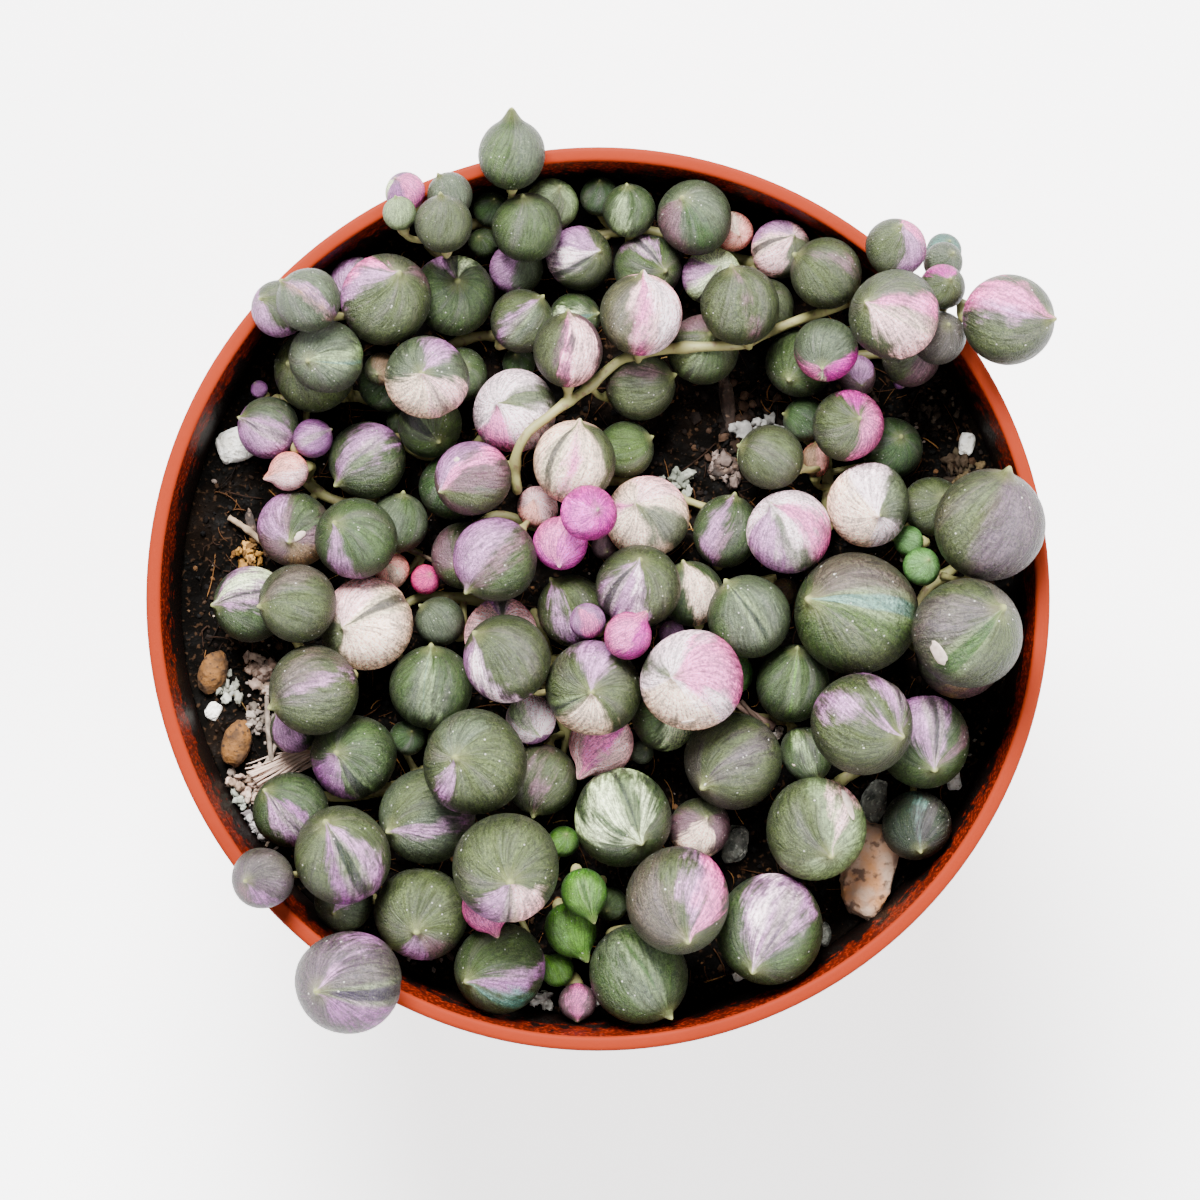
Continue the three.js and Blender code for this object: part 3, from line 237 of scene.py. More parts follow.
         (-0.3, -1.8, 1.8, -0.8, 1.2, 3, "lilac; pink 300 50"),
         (3.1, -3.3, 2.4, 2.2, 2.8, 4, "magenta; pink 200 60; pointed")]),
    "strand_south_core": (
        [(4.6, -14.0), (9.0, -12.6), (13.5, -11.6), (17.2, -12.2), (19.8, -12.4)],
        [(7.4, -3.4, 1.3, -0.4, 0.6, 1, "lilac"),
         (14.3, -7.6, 2.1, 1.6, 1.9, 1, "bright_green"),
         (6.7, -11.8, 3.5, 0.5, 1.0, 1, "green; white 300 36"),
         (3.9, -15.3, 1.2, 0.4, 0.4, 1, "grey_green"),
         (13.4, -16.9, 4.9, -2.8, -2.4, 1, "dusk; olive 350 34; olive 90 30"),
         (19.0, -8.1, 3.6, 0.4, 3.3, 2, "green; olive_green 240 20; pale_window 268 6", 1.15),
         (20.6, -15.9, 2.5, 1.7, -3.3, 2, "green; pale_green 130 14; window 112 6", 1.2),
         (9.2, -8.0, 5.1, -1.8, 0.3, 4, "pink_white; grey_green 155 22; pink 20 50; cream 250 50", 1.04)]),
    "strand_south_west_core": (
        [(-6.4, -1.4), (-5.2, -5.4), (-4.4, -9.6), (-3.2, -13.6), (-3.6, -16.0)],
        [(0.4, -14.6, 3.3, -1.8, -2.8, 1, "pink_cream; magenta 30 20; pink 80 40; pointed"),
         (-9.0, -3.2, 3.7, 0.2, 1.4, 1, "pink_cream; lilac 100 30; window 90 12"),
         (-3.6, -1.5, 3.5, -2.1, 3.1, 2, "olive; lilac 255 18", 1.06),
         (-5.2, -17.5, 3.6, -0.9, -4.2, 1, "olive; mauve 88 26"),
         (-8.7, -6.0, 4.4, -2.9, 2.3, 3, "olive; lilac 238 24; pink_white 250 6"),
         (-0.6, -9.1, 4.8, -0.2, -0.3, 3, "olive; cream 262 42; lilac 86 24; window 205 5"),
         (-6.7, -12.4, 2.5, 0.9, -1.5, 3, "pink_white; lilac 290 60; pale_green 150 20")]),
    "strand_west_core": (
        [(-11.5, -0.4), (-13.8, 0.1), (-17.8, 0.2), (-20.0, -1.2), (-20.3, -4.6), (-19.2, -7.6)],
        [(-15.6, -2.5, 2.5, -2.1, 1.7, 1, "grey_green"),
         (-17.1, -8.7, 4.2, 0, 3.8, 1, "green; grey_green 235 22; pale_green 268 5; teal_window 250 4"),
         (-22.7, -2.6, 4.7, -2.0, -0.3, 2, "cream; green 200 52; pink_cream 95 36; window 36 8")]),
    "strand_west": (
        [(-32.2, -1.0), (-30.2, -4.6), (-28.6, -8.0), (-29.4, -11.6)],
        [(-34.6, -0.5, 3.8, -3.4, -0.1, 1, "green; lilac 48 42; white 70 12; window 40 6"),
         (-30.6, -13.1, 2.4, -1.6, 1.5, 1, "green; lilac 285 50"),
         (-30.2, -0.4, 3.9, -3.4, -0.3, 2, "olive; haze 75 16"),
         (-27.9, -9.4, 4.5, -4.3, -1.7, 2, "olive; mauve 70 12; lilac 56 5; haze 84 14")]),
    "strand_south_west": (
        [(-13.6, -14.8), (-17.4, -17.2), (-21.4, -19.2), (-26.0, -20.0), (-29.0, -19.6)],
        [(-19.0, -14.3, 1.8, 0.4, 0.6, 1, "dark_green"),
         (-16.6, -13.9, 1.8, -0.4, 0.9, 1, "pale_green"),
         (-23.2, -16.3, 4.3, -1.5, 0.4, 1, "green; violet 232 36; lilac 262 9; window 292 9"),
         (-30.2, -20.7, 3.8, -2.3, 1.8, 1, "green; lilac 292 30; violet 320 12; window 300 6"),
         (-18.1, -21.3, 4.8, -3.5, -1.4, 2, "grey_green; olive 60 40; lilac 352 10", 1.04),
         (-12.4, -16.7, 5.2, -1.7, 0.5, 3, "olive; lilac 245 9; grey_green 100 40", 1.04)]),
    "strand_south_west_rim": (
        [(-28.6, -27.2), (-25.6, -28.4), (-22.6, -30.2), (-20.2, -33.0)],
        [(-26.0, -30.7, 3.0, -0.9, -1.0, 1, "grey_green; lilac 60 30"),
         (-25.7, -25.8, 4.9, -1.4, 3.1, 2, "olive; violet 278 14; lilac 326 18; window 302 9", 1.03),
         (-17.4, -30.8, 4.7, -0.4, -1.6, 1, "olive; lilac 262 26; mauve 310 14"),
         (-33.3, -27.8, 3.1, -1.5, -0.2, 3, "violet_grey; dusk 60 60; mauve 230 36; violet 300 14"),
         (-24.8, -38.1, 5.2, -2.8, -0.7, 3,
          "violet_grey; lilac 60 12; violet 312 20; dusk 18 20; violet_window 348 9", 1.08)]),
    "strand_south": (
        [(-11.6, -32.6), (-8.4, -31.6), (-6.2, -28.4), (-4.4, -26.2)],
        [(-3.5, -24.4, 1.6, 0.3, 0.7, 1, "shoot"),
         (-9.6, -36.4, 4.6, -3.0, -1.1, 1, "olive_green; lilac 352 14; violet 340 6; teal 312 8"),
         (-11.2, -31.6, 2.3, 1.1, -2.6, 2, "pink; magenta 270 30; pointed", 1.1),
         (-9.3, -26.7, 5.4, 0.4, -1.2, 3, "olive; pink_cream 290 40; lilac 245 26; window 272 4", 1.03)]),
    "strand_green_shoot": (
        [(0.4, -28.4), (-1.0, -31.6), (-2.8, -35.2), (-3.2, -37.8)],
        [(-3.8, -37.3, 1.7, -1.5, 1.5, 1, "shoot; pointed"),
         (1.3, -30.7, 1.7, -0.4, -0.6, 1, "green"),
         (-2.6, -39.7, 1.9, 0, -2.5, 1, "mauve; pink 90 50; pointed"),
         (-2.5, -34.1, 2.6, 1.9, -3.5, 2, "shoot; pointed", 1.1),
         (-1.5, -29.7, 2.3, 0.9, -2.6, 3, "shoot; green_window 100 14; pointed", 1.1)]),
    "strand_south_middle": (
        [(3.2, -25.0), (6.4, -25.8), (8.0, -28.4), (6.6, -33.2)],
        [(10.6, -22.2, 3.1, 0.6, 1.0, 1, "mauve; cream 250 40; olive 90 60"),
         (3.8, -37.4, 4.8, 3.3, -4.4, 1, "green; grey_green 140 40; green_window 98 7", 1.08),
         (7.9, -30.3, 5.2, 0.9, -3.6, 3, "olive; haze 170 50; lilac 64 12; pink 38 16", 1.07),
         (2.4, -21.7, 4.9, 1.7, -2.2, 3,
          "green; white 130 15; white 72 12; white 184 6; window 98 5", 1.04)]),
    "strand_south_east_rim": (
        [(17.6, -28.6), (18.0, -31.4), (17.8, -34.0)],
        [(18.1, -33.7, 5.4, -1.6, -3.7, 1,
          "green; lilac 70 44; pink_white 88 8; violet_window 56 5", 1.08)]),
    "strand_on_top": (
        [(-8.1, 11.1), (-8.3, 12.7), (-8.1, 14.6), (-7.0, 16.6), (-5.0, 18.2), (-3.5, 19.4), (-1.1, 21.1),
         (0.9, 22.9), (2.2, 23.9), (3.5, 24.4), (7.7, 25.1), (11.9, 25.3), (14.2, 25.5), (18.2, 27.2),
         (20.5, 28.1), (23.5, 29.2), (25.2, 29.9), (28.2, 30.6), (31.7, 30.9), (34.7, 30.1), (37.0, 29.4)],
        [(-12.5, 11.7, 3.7, -2.9, -1.2, 3, "mauve; lilac 100 30; pink 60 14; olive 322 24", 1.08),
         (-3.2, 25.1, 3.4, 0, 4.0, 3, "mauve; olive 200 34; pink 272 15; pink_cream 320 26", 1.12),
         (4.3, 20.6, 3.5, 3.7, 1.2, 2, "olive; mauve 150 12"),
         (10.3, 24.9, 3.6, 0.6, 1.4, 2, "olive; mauve 120 40; olive_green 280 40; window 240 5"),
         (34.2, 26.4, 2.7, 0.8, 1.2, 2, "dusk"),
         (34.5, 33.7, 2.0, 0.9, 0.8, 3, "grey_green", 1, 80.2),
         (34.7, 34.9, 1.8, 0.5, 0.9, 3, "teal", 1, 76.3),
         (14.2, 29.3, 4.0, -0.8, 3.5, 4, "olive; mauve 318 12"),
         (4.2, 28.3, 4.1, 0.2, 4.1, 4, "pink_cream; pink 276 36; olive 200 36; pink_white 336 16"),
         (22.7, 32.9, 3.6, -3.3, 1.9, 3, "olive; mauve 24 10"),
         (29.7, 35.0, 3.0, 0.5, 2.0, 3, "olive; lilac 330 50; pink 30 50"),
         (34.3, 31.2, 2.3, 0.7, 0.7, 4, "olive; magenta 100 60"),
         (40.4, 27.7, 4.6, 4.0, 0, 4, "olive; pink 135 28; lilac 168 10"),
         (29.7, 28.1, 4.5, -2.6, 1.0, 4, "olive; pink_cream 322 44; pink 8 14; window 342 5")]),
}
TOP_STRAND = "strand_on_top"
OVER_RIM_FROM = 17
OVER_RIM_HEIGHTS = (83.0, 81.5, 81.3, 81.3)

TONES = {
    "olive": "#3f4a22", "olive_green": "#334714", "grey_green": "#4a563e", "green": "#33491a",
    "leaf_green": "#384f14", "shoot": "#52841c", "dark_green": "#284614", "deep_green": "#0e2208",
    "bright_green": "#669850", "pale_green": "#8a9c70", "teal": "#4c7a70", "lilac": "#b07cac",
    "violet": "#965896", "pink": "#e070b0", "magenta": "#c80ca4", "rose": "#e43490", "orchid": "#ee58cc",
    "salmon": "#fcaca0", "mauve": "#704e5a", "cream": "#fcdcc6", "pink_cream": "#ffccd0",
    "pink_white": "#ffe6ee", "white": "#d8e6b8", "tan": "#84684a", "dusk": "#4c4440", "haze": "#564a42",
    "violet_grey": "#54404e",
    "window": "#132110", "teal_window": "#5a8074", "green_window": "#34561a", "pale_window": "#67982a",
    "violet_window": "#2e2038",
}

# ------------------------------------------------------------------ what lies on the soil
# name: x, y, length, width, height, rise above the soil, turn in degrees, finish

LOOSE_PIECES = {
    "perlite_block_west": (-36.4, 15.6, 4.2, 3.3, 2.6, 1.6, 18, "perlite"),
    "perlite_east": (37.2, 15.6, 2.3, 1.5, 1.5, 0.9, 80, "perlite"),
    "perlite_south_east": (35.9, -18.2, 2.3, 1.4, 1.5, 0.9, 95, "perlite"),
    "perlite_north_a": (1.9, 40.8, 1.4, 1.1, 1.1, 0.6, 5, "perlite"),
    "perlite_north_b": (4.7, 40.4, 1.4, 1.2, 1.1, 0.6, 40, "perlite"),
    "perlite_south": (14.2, -38.0, 1.2, 1.0, 1.0, 0.6, 25, "perlite"),
    "perlite_west": (-38.8, -11.3, 1.8, 1.5, 1.3, 0.8, 60, "perlite"),
    "stone_orange": (27.5, -27.2, 9.2, 5.2, 4.4, 2.4, 76, "granite"),
    "stone_grey_south": (13.8, -24.7, 4.0, 2.5, 2.4, 1.5, 70, "slate"),
    "stone_grey_east": (27.8, -20.6, 4.4, 2.5, 2.4, 1.5, 72, "slate"),
    "stone_grey_rim": (22.6, -33.8, 2.3, 1.8, 1.7, 1.0, 100, "slate"),
    "stone_white": (-0.6, -40.3, 2.1, 1.9, 1.7, 1.0, 30, "perlite"),
    "pellet_upper": (-38.8, -7.4, 4.4, 2.9, 2.9, 1.9, 70, "clay"),
    "pellet_lower": (-36.4, -14.6, 4.7, 2.9, 2.9, 1.9, 75, "clay"),
    "bark_chip_long": (13.0, 19.9, 6.0, 1.4, 1.4, 0.9, 96, "bark"),
    "bark_chip_middle": (15.2, 16.2, 2.4, 1.6, 1.2, 0.8, 30, "bark"),
    "bark_chip_low": (12.6, 13.2, 3.2, 2.0, 1.4, 0.9, 15, "bark"),
    "bark_stick": (-35.0, 7.4, 3.2, 0.9, 0.9, 0.7, 100, "bark"),
}
STRAW_POINTS = [(-34.6, -18.6), (-32.4, -17.2), (-30.0, -16.0), (-27.4, -15.0)]
STRAW_RADIUS = 0.45
STRAW_FIBRES = 34

# ------------------------------------------------------------------ colour, nodes and meshes


def to_linear(hex_code):
    """An sRGB hex colour as linear red, green, blue and an alpha of 1."""
    srgb = np.array([int(hex_code[i:i + 2], 16) for i in (1, 3, 5)]) / 255
    linear = np.where(srgb <= 0.04045, srgb / 12.92, ((srgb + 0.055) / 1.055) ** 2.4)
    return (*linear.tolist(), 1.0)


# sockets that go by number, because their node has several of one name
VALUE, LOW, HIGH, TO_LOW, TO_HIGH = range(5)  # of a map range
FACTOR, FIRST, SECOND = 0, 6, 7  # of a mix of two colours
# settings that many nodes share
COLOURS = {"data_type": "RGBA"}
LIGHTEN = {"data_type": "RGBA", "blend_type": "LIGHTEN"}
SMOOTH = {"interpolation_type": "SMOOTHSTEP"}


def add_node(tree, kind, settings):
    """Adds a shader node. A setting is one of its own properties, or an input: a value is set, a socket is
    linked, and so is the first live output of a node. A math node's operands are inputs 0, 1 and 2."""
    node = tree.nodes.new("ShaderNode" + kind)
    for key, value in settings.items():
        if isinstance(value, bpy.types.Node):
            value = next(output for output in value.outputs if output.enabled)
        if isinstance(key, str) and hasattr(node, key):
            setattr(node, key, value)
        elif isinstance(value, bpy.types.NodeSocket):
            tree.links.new(value, node.inputs[key])
        else:
            node.inputs[key].default_value = value
    return node


def new_material(name):
    """A material whose node tree is empty, and that tree."""
    material = bpy.data.materials.new(name)
    material.use_nodes = True
    material.node_tree.nodes.clear()
    return material, material.node_tree


def mottled(name, roughness, ior, ground_tone, layers, strength, depth):
    """A material of one tone under layers of others. A layer is a noise's scale per metre and detail, the
    range of the noise over which the layer comes in with its most, or None where the noise itself is the
    mask, and its tone. The last layer's noise is the relief too, where that has a depth."""
    material, tree = new_material(name)
    place = add_node(tree, "TexCoord", {}).outputs["Object"]
    colour = ground_tone
    for scale, detail, span, tone in layers:
        noise = mask = add_node(tree, "TexNoise", {"Vector": place, "Scale": scale, "Detail": detail})
        if span:
            mask = add_node(tree, "MapRange", {VALUE: noise, LOW: span[0], HIGH: span[1], TO_HIGH: span[2]})
        colour = add_node(tree, "Mix", {**COLOURS, FACTOR: mask, FIRST: colour, SECOND: tone})
    settings = {"Base Color": colour, "Roughness": roughness, "IOR": ior}
    if depth:
        settings["Normal"] = add_node(tree, "Bump", {
            "Strength": strength, "Distance": depth, "Height": noise})
    add_node(tree, "OutputMaterial", {"Surface": add_node(tree, "BsdfPrincipled", settings)})
    return material


# by how many numbers a point has
FIELD_KINDS = {1: ("FLOAT", "value"), 3: ("FLOAT_VECTOR", "vector"), 4: ("FLOAT_COLOR", "color")}


def add_mesh(name, parts, materials):
    """Joins parts into one object at the origin. A part is a dict: points in mm, quads, tris, the number of
    its material, and its own values for the mesh's attributes, which are zero where a part has none."""
    count = np.cumsum([0] + [len(part["points"]) for part in parts])
    points = np.concatenate([part["points"] for part in parts]) * MM
    faces, numbers = [], []
    for part, start in zip(parts, count):
        for shape in ("quads", "tris"):
            if len(part.get(shape, ())):
                faces += (part[shape] + start).tolist()
                numbers += [part.get("material", 0)] * len(part[shape])
    mesh = bpy.data.meshes.new(name)
    mesh.from_pydata(points.tolist(), [], faces)
    for material in materials:
        mesh.materials.append(material)
    mesh.polygons.foreach_set("material_index", np.array(numbers, dtype=np.int32))
    mesh.polygons.foreach_set("use_smooth", np.ones(len(faces), dtype=bool))
    for key in sorted({key for part in parts for key in part.get("fields", {})}):
        first = next(part["fields"][key] for part in parts if key in part.get("fields", {}))
        width = 1 if first.ndim == 1 else first.shape[1]
        kind, slot = FIELD_KINDS[width]
        rows = [part.get("fields", {}).get(key, np.zeros((len(part["points"]), width))) for part in parts]
        values = np.concatenate([row.reshape(-1, width) for row in rows]).astype(np.float32)
        mesh.attributes.new(key, kind, "POINT").data.foreach_set(slot, values.ravel())
    mesh.validate()
    mesh.update()
    piece = bpy.data.objects.new(name, mesh)
    bpy.context.scene.collection.objects.link(piece)
    return piece


def around(count):
    """Angles evenly spaced round a circle."""
    return np.arange(count) * 2 * np.pi / count


def ring_faces(rings, sides):
    """The faces of rings of points between a first point and a last one, turned outwards."""
    ring = 1 + np.arange(rings * sides).reshape(rings, sides)
    after = np.roll(ring, -1, axis=1)
    quads = np.stack([ring[:-1], ring[1:], after[1:], after[:-1]], -1).reshape(-1, 4)
    top = np.stack([np.zeros(sides, int), ring[0], after[0]], -1)
    bottom = np.stack([ring[-1], np.full(sides, 1 + rings * sides), after[-1]], -1)
    return {"quads": quads, "tris": np.concatenate([top, bottom])}


def ball_grid(polar, sides):
    """A closed ball as rings round one axis: a ring of points at each polar angle and one point at each
    pole. Gives every point's polar angle and longitude, and the faces."""
    angle = np.concatenate([[0], np.repeat(polar, sides), [np.pi]])
    longitude = np.concatenate([[0], np.tile(around(sides), len(polar)), [0]])
    return angle, longitude, ring_faces(len(polar), sides)


def on_ball(angle, longitude):
    """The unit ball's points, by the angle from its third axis and the longitude round it."""
    out = np.sin(angle)
    return np.stack([out * np.cos(longitude), out * np.sin(longitude), np.cos(angle)], -1)


def tube(path, radii, sides):
    """A closed tube: a circle of the given radius in the plane across the path at each of its points. The
    circle's first direction is carried along the path without twist, and each end closes in one point."""
    path = np.asarray(path, float)
    ahead = np.gradient(path, axis=0)
    ahead /= np.linalg.norm(ahead, axis=1)[:, None]
    least = np.eye(3)[np.argmin(np.abs(ahead[0]))]
    side = np.zeros_like(path)
    side[0] = np.cross(ahead[0], least)
    side[0] /= np.linalg.norm(side[0])
    for i in range(1, len(path)):
        flat = side[i - 1] - ahead[i] * (side[i - 1] @ ahead[i])
        side[i] = flat / np.linalg.norm(flat)
    other = np.cross(side, ahead)
    turn = around(sides)
    circle = side[:, None] * np.cos(turn)[None, :, None] + other[:, None] * np.sin(turn)[None, :, None]
    rings = path[:, None] + circle * np.broadcast_to(radii, len(path))[:, None, None]
    points = np.concatenate([path[:1], rings.reshape(-1, 3), path[-1:]])
    return {"points": points, **ring_faces(len(path), sides)}


def in_tone(part, tone):
    """A part whose points all have one tone."""
    return {**part, "fields": {"crumb_tone": np.tile(tone, (len(part["points"]), 1))}}


# turn a lattice corner and a seed into a number that looks random
HASH_CORNER = np.array([127.1, 311.7, 74.7])
HASH_SEED = 12.9898
HASH_SPREAD = 43758.5453


def lattice_noise(points, cell, seed):
    """Smooth noise from 0 to 1: every corner of a lattice of that cell size has a hashed value, and a point
    takes the values of the eight corners round it, weighted by the smoothstep of its place in the cell."""
    scaled = np.asarray(points, float) / cell
    low = np.floor(scaled)
    share = scaled - low
    share = share * share * (3 - 2 * share)
    total = np.zeros(len(scaled))
    for corner in np.ndindex(2, 2, 2):
        place = low + corner
        value = np.sin(place @ HASH_CORNER + seed * HASH_SEED) * HASH_SPREAD
        weight = np.where(np.array(corner) > 0, share, 1 - share).prod(axis=1)
        total += weight * (value - np.floor(value))
    return total


def layered_noise(points, cell, seed, layers=3):
    """Lattice noise plus finer layers, each half the cell and half the strength of the one before."""
    shares = [0.5 ** i for i in range(layers)]
    parts = [share * lattice_noise(points, cell * share, seed + i) for i, share in enumerate(shares)]
    return sum(parts) / sum(shares)


def smoothstep(values, low, high):
    """0 below low, 1 above high and 3t^2 - 2t^3 between."""
    share = np.clip((values - low) / (high - low), 0, 1)
    return share * share * (3 - 2 * share)


def bell(distance, width):
    """1 at no distance, and less further off: exp(-(distance / width)^2)."""
    return np.exp(-(distance / width) ** 2)


def unit(vectors):
    """Each vector divided by its length."""
    return vectors / np.linalg.norm(vectors, axis=-1, keepdims=True)


def run_along(points):
    """The length of a line of points, up to each of them."""
    return np.concatenate([[0], np.cumsum(np.linalg.norm(np.diff(points, axis=0), axis=1))])


def inner_wall(z):
    """The inside of the pot narrows evenly with depth."""
    return INNER_RIM - WALL_TAPER * (POT_HEIGHT - z)


def outer_wall(z):
    """The outside of the pot, a wall's thickness further out."""
    return inner_wall(z) + WALL


FLAT_SIDE = np.cos(np.pi / POT_SIDES)


def room_inside(z):
    """How far from the axis a leaf may reach inside the pot, whose solid has flat sides."""
    return inner_wall(np.minimum(z, POT_HEIGHT)) * FLAT_SIDE


def soil_height(x, y):
    """The soil's gently lumpy top: two crossed waves and a slanted one, fading out at the wall."""
    fade = np.maximum(0, 1 - ((x * x + y * y) / INNER_RIM ** 2) ** SOIL_FADE)
    crossed = np.sin(x / SOIL_WAVE_X) * np.cos(y / SOIL_WAVE_Y)
    slanted = np.sin((x + y) / SOIL_WAVE_SLANT)
    return SOIL_TOP + SOIL_LUMP * fade * (SOIL_CROSSED * crossed + (1 - SOIL_CROSSED) * slanted)


GROUND_RISE = 0.9  # mm from the lowest to the highest of each noise
GROUND_NOISE = ((3.1, 3), (1.2, 9))  # cell in mm and seed of a coarse noise and a fine one
GROUND_FADE = 1.5  # mm from the wall over which they fade in


def ground(x, y):
    """The fine soil's top: the lumpy top with two layered noises raised on it, fading out at the wall."""
    points = np.stack([x, y, np.zeros_like(x)], -1)
    rough = sum(GROUND_RISE * (layered_noise(points, *noise) - 0.5) for noise in GROUND_NOISE)
    return soil_height(x, y) + rough * smoothstep(inner_wall(SOIL_TOP) - np.hypot(x, y), 0, GROUND_FADE)


# ------------------------------------------------------------------ curves


def catmull_rom(points, at):
    """The centripetal Catmull-Rom curve through points, at parameters from 0 to 1: on each stretch, a cubic
    whose end slopes come from the neighbouring points, spaced by the square root of their distance."""
    points = np.asarray(points, float)
    padded = np.concatenate([[2 * points[0] - points[1]], points, [2 * points[-1] - points[-2]]])
    where = np.clip(np.asarray(at, float), 0, 1) * (len(points) - 1)
    k = np.minimum(where.astype(int), len(points) - 2)
    t = (where - k)[:, None]
    p0, p1, p2, p3 = (padded[k + i] for i in range(4))
    d0, d1, d2 = (np.sqrt(np.linalg.norm(b - a, axis=1))[:, None] for a, b in ((p0, p1), (p1, p2), (p2, p3)))
    t1 = ((p1 - p0) / d0 - (p2 - p0) / (d0 + d1) + (p2 - p1) / d1) * d1
    t2 = ((p2 - p1) / d1 - (p3 - p1) / (d1 + d2) + (p3 - p2) / d2) * d1
    return p1 + t1 * t + (3 * (p2 - p1) - 2 * t1 - t2) * t ** 2 + (2 * (p1 - p2) + t1 + t2) * t ** 3


def bezier(corners, at):
    """The cubic Bezier curve of four corners, at parameters from 0 to 1."""
    t = np.asarray(at, float)[:, None]
    a, b, c, d = corners
    return a * (1 - t) ** 3 + b * 3 * t * (1 - t) ** 2 + c * 3 * t ** 2 * (1 - t) + d * t ** 3


def arc_length(curve):
    """The length along a curve at evenly spaced parameters, and those parameters."""
    at = np.linspace(0, 1, ARC_PARTS + 1)
    return run_along(curve(at)), at


def spaced(curve, count):
    """count + 1 points at equal lengths along a curve."""
    length, at = arc_length(curve)
    return curve(np.interp(np.linspace(0, length[-1], count + 1), length, at))


def beads(curve, radius):
    """Balls strung along a curve, as rows of x, y, z and radius."""
    count = int(np.ceil(arc_length(curve)[0][-1] / BEAD_STEP))
    points = curve(np.arange(count + 1) / count)
    return np.column_stack([points, np.full(count + 1, radius)])


# ------------------------------------------------------------------ laying the leaves, as in the solids


class Leaves:
    """Every leaf's numbers as arrays, in the order of the strands."""

    def __init__(self):
        rows = [(name, leaf) for name, (_, leaves) in STRANDS.items() for leaf in leaves]
        self.strand = np.array([name for name, _ in rows])
        self.home = np.array([leaf[:2] for _, leaf in rows], float)
        self.radius = np.array([leaf[2] for _, leaf in rows], float)
        self.tip = np.array([leaf[3:5] for _, leaf in rows], float)
        self.tier = np.array([leaf[5] for _, leaf in rows], float)
        self.look = [leaf[6] for _, leaf in rows]
        self.stretch = np.array([leaf[7] if len(leaf) > 7 else 1 for _, leaf in rows], float)
        self.hangs = np.array([leaf[8] if len(leaf) > 8 else 0 for _, leaf in rows], float)
        self.reach = self.radius * self.stretch
        self.at = self.settle()
        self.axis = np.zeros_like(self.at)
        self.number = np.arange(len(rows))

    def settle(self):
        """The heap settles: each leaf starts at its tier's height and sinks, leaves that meet push each
        other apart, more in height than sideways, and a weak pull holds each to its place from above."""
        floor = SOIL_TOP + LEAF_LIFT + self.reach
        height = np.where(self.hangs > 0, self.hangs, floor + (self.tier - 1) * TIER_HEIGHT)
        at = np.column_stack([self.home, height])
        on_rim = np.hypot(*self.home.T) + self.reach > INNER_RIM + WALL_NUDGE
        loose = self.hangs == 0
        touch = self.reach[:, None] + self.reach + LEAF_CLEAR + SETTLE_SPARE
        need = self.reach + LEAF_CLEAR
        same = np.eye(len(at), dtype=bool)
        for step in range(SETTLE_PASSES):
            free = step < SETTLE_PASSES * SETTLE_FREE
            gap = at[None] - at[:, None]
            apart = np.linalg.norm(gap, axis=2)
            apart[same] = 1e9
            push = SETTLE_PUSH * np.maximum(touch - apart, 0) / apart
            move = -(gap * push[:, :, None]).sum(axis=1) * [SETTLE_SIDEWAYS, SETTLE_SIDEWAYS, 1]
            if free:
                move[:, :2] += SETTLE_PULL * (self.home - at[:, :2])
                move[:, 2] -= SETTLE_SINK
            at[loose] += move[loose]
            at[loose, 2] = np.maximum(at[loose, 2], floor[loose])
            out = np.hypot(at[:, 0], at[:, 1])
            off = np.maximum(np.maximum(INNER_RIM * FLAT_SIDE - out, out - RIM_RADIUS), 0)
            lift = np.where(off < need, POT_HEIGHT + np.sqrt(np.maximum(need ** 2 - off ** 2, 0)), 0)
            over = out + self.reach + LEAF_CLEAR - room_inside(at[:, 2])
            wrong = loose & (over > 0) & ((lift == 0) | (at[:, 2] < lift))
            raised = wrong & on_rim & (lift > 0)
            at[raised, 2] = lift[raised]
            leaning = wrong & ~raised
            at[leaning, :2] *= (1 - over[leaning] / out[leaning])[:, None]
        return at

    def aim(self, i, turn=1):
        """The tip's direction: its place seen from above, and upward by what the roundness leaves."""
        flat = np.hypot(*self.tip[i])
        share = min(turn * flat / self.reach[i], MOST_TILT)
        return np.array([*(self.tip[i] * share / flat if flat > 0 else (0, 0)), np.sqrt(1 - share ** 2)])


def stem_curve(name, leaves):
    """Every stem comes straight up out of the soil, then creeps over it. The stem on top climbs the heap
    and lies on the lowest arched line over the leaves it crosses."""
    spots = np.array(STRANDS[name][0], float)
    foot = spots[0]
    root = [[*foot, SOIL_TOP - ROOT_DEPTH], [*foot, SOIL_TOP - ROOT_DEPTH / 2], [*foot, SOIL_TOP]]
    if name != TOP_STRAND:
        creep = np.column_stack([spots[1:], np.full(len(spots) - 1, SOIL_TOP + STEM_HEIGHT)])
        bend = creep[0] + ROOT_BEND * (np.array([*foot, SOIL_TOP + STEM_HEIGHT]) - creep[0])
        points = np.concatenate([root, [bend], creep])
    else:
        under = (leaves.strand != name) | (leaves.tier < 3)
        apart = np.linalg.norm(spots[:, None] - leaves.at[None, under, :2], axis=2)
        need = leaves.reach[under] + STEM_RADIUS + STALK_CLEAR
        lifted = leaves.at[under, 2] + np.sqrt(np.maximum(need ** 2 - apart ** 2, 0))
        rest = np.maximum(np.where(apart < need, lifted, 0).max(axis=1), SOIL_TOP + STEM_HEIGHT)
        along = run_along(spots)
        apart = along[:, None] - along[None, :OVER_RIM_FROM]
        arched = rest[None, :OVER_RIM_FROM] - TOP_STEM_CURVE * apart ** 2
        heights = arched.max(axis=1)
        heights[OVER_RIM_FROM:] = OVER_RIM_HEIGHTS
        climb = [[*foot, SOIL_TOP + z] for z in CLIMB]
        points = np.concatenate([root, climb, np.column_stack([spots, heights])[1:]])
    return lambda at: catmull_rom(points, at)


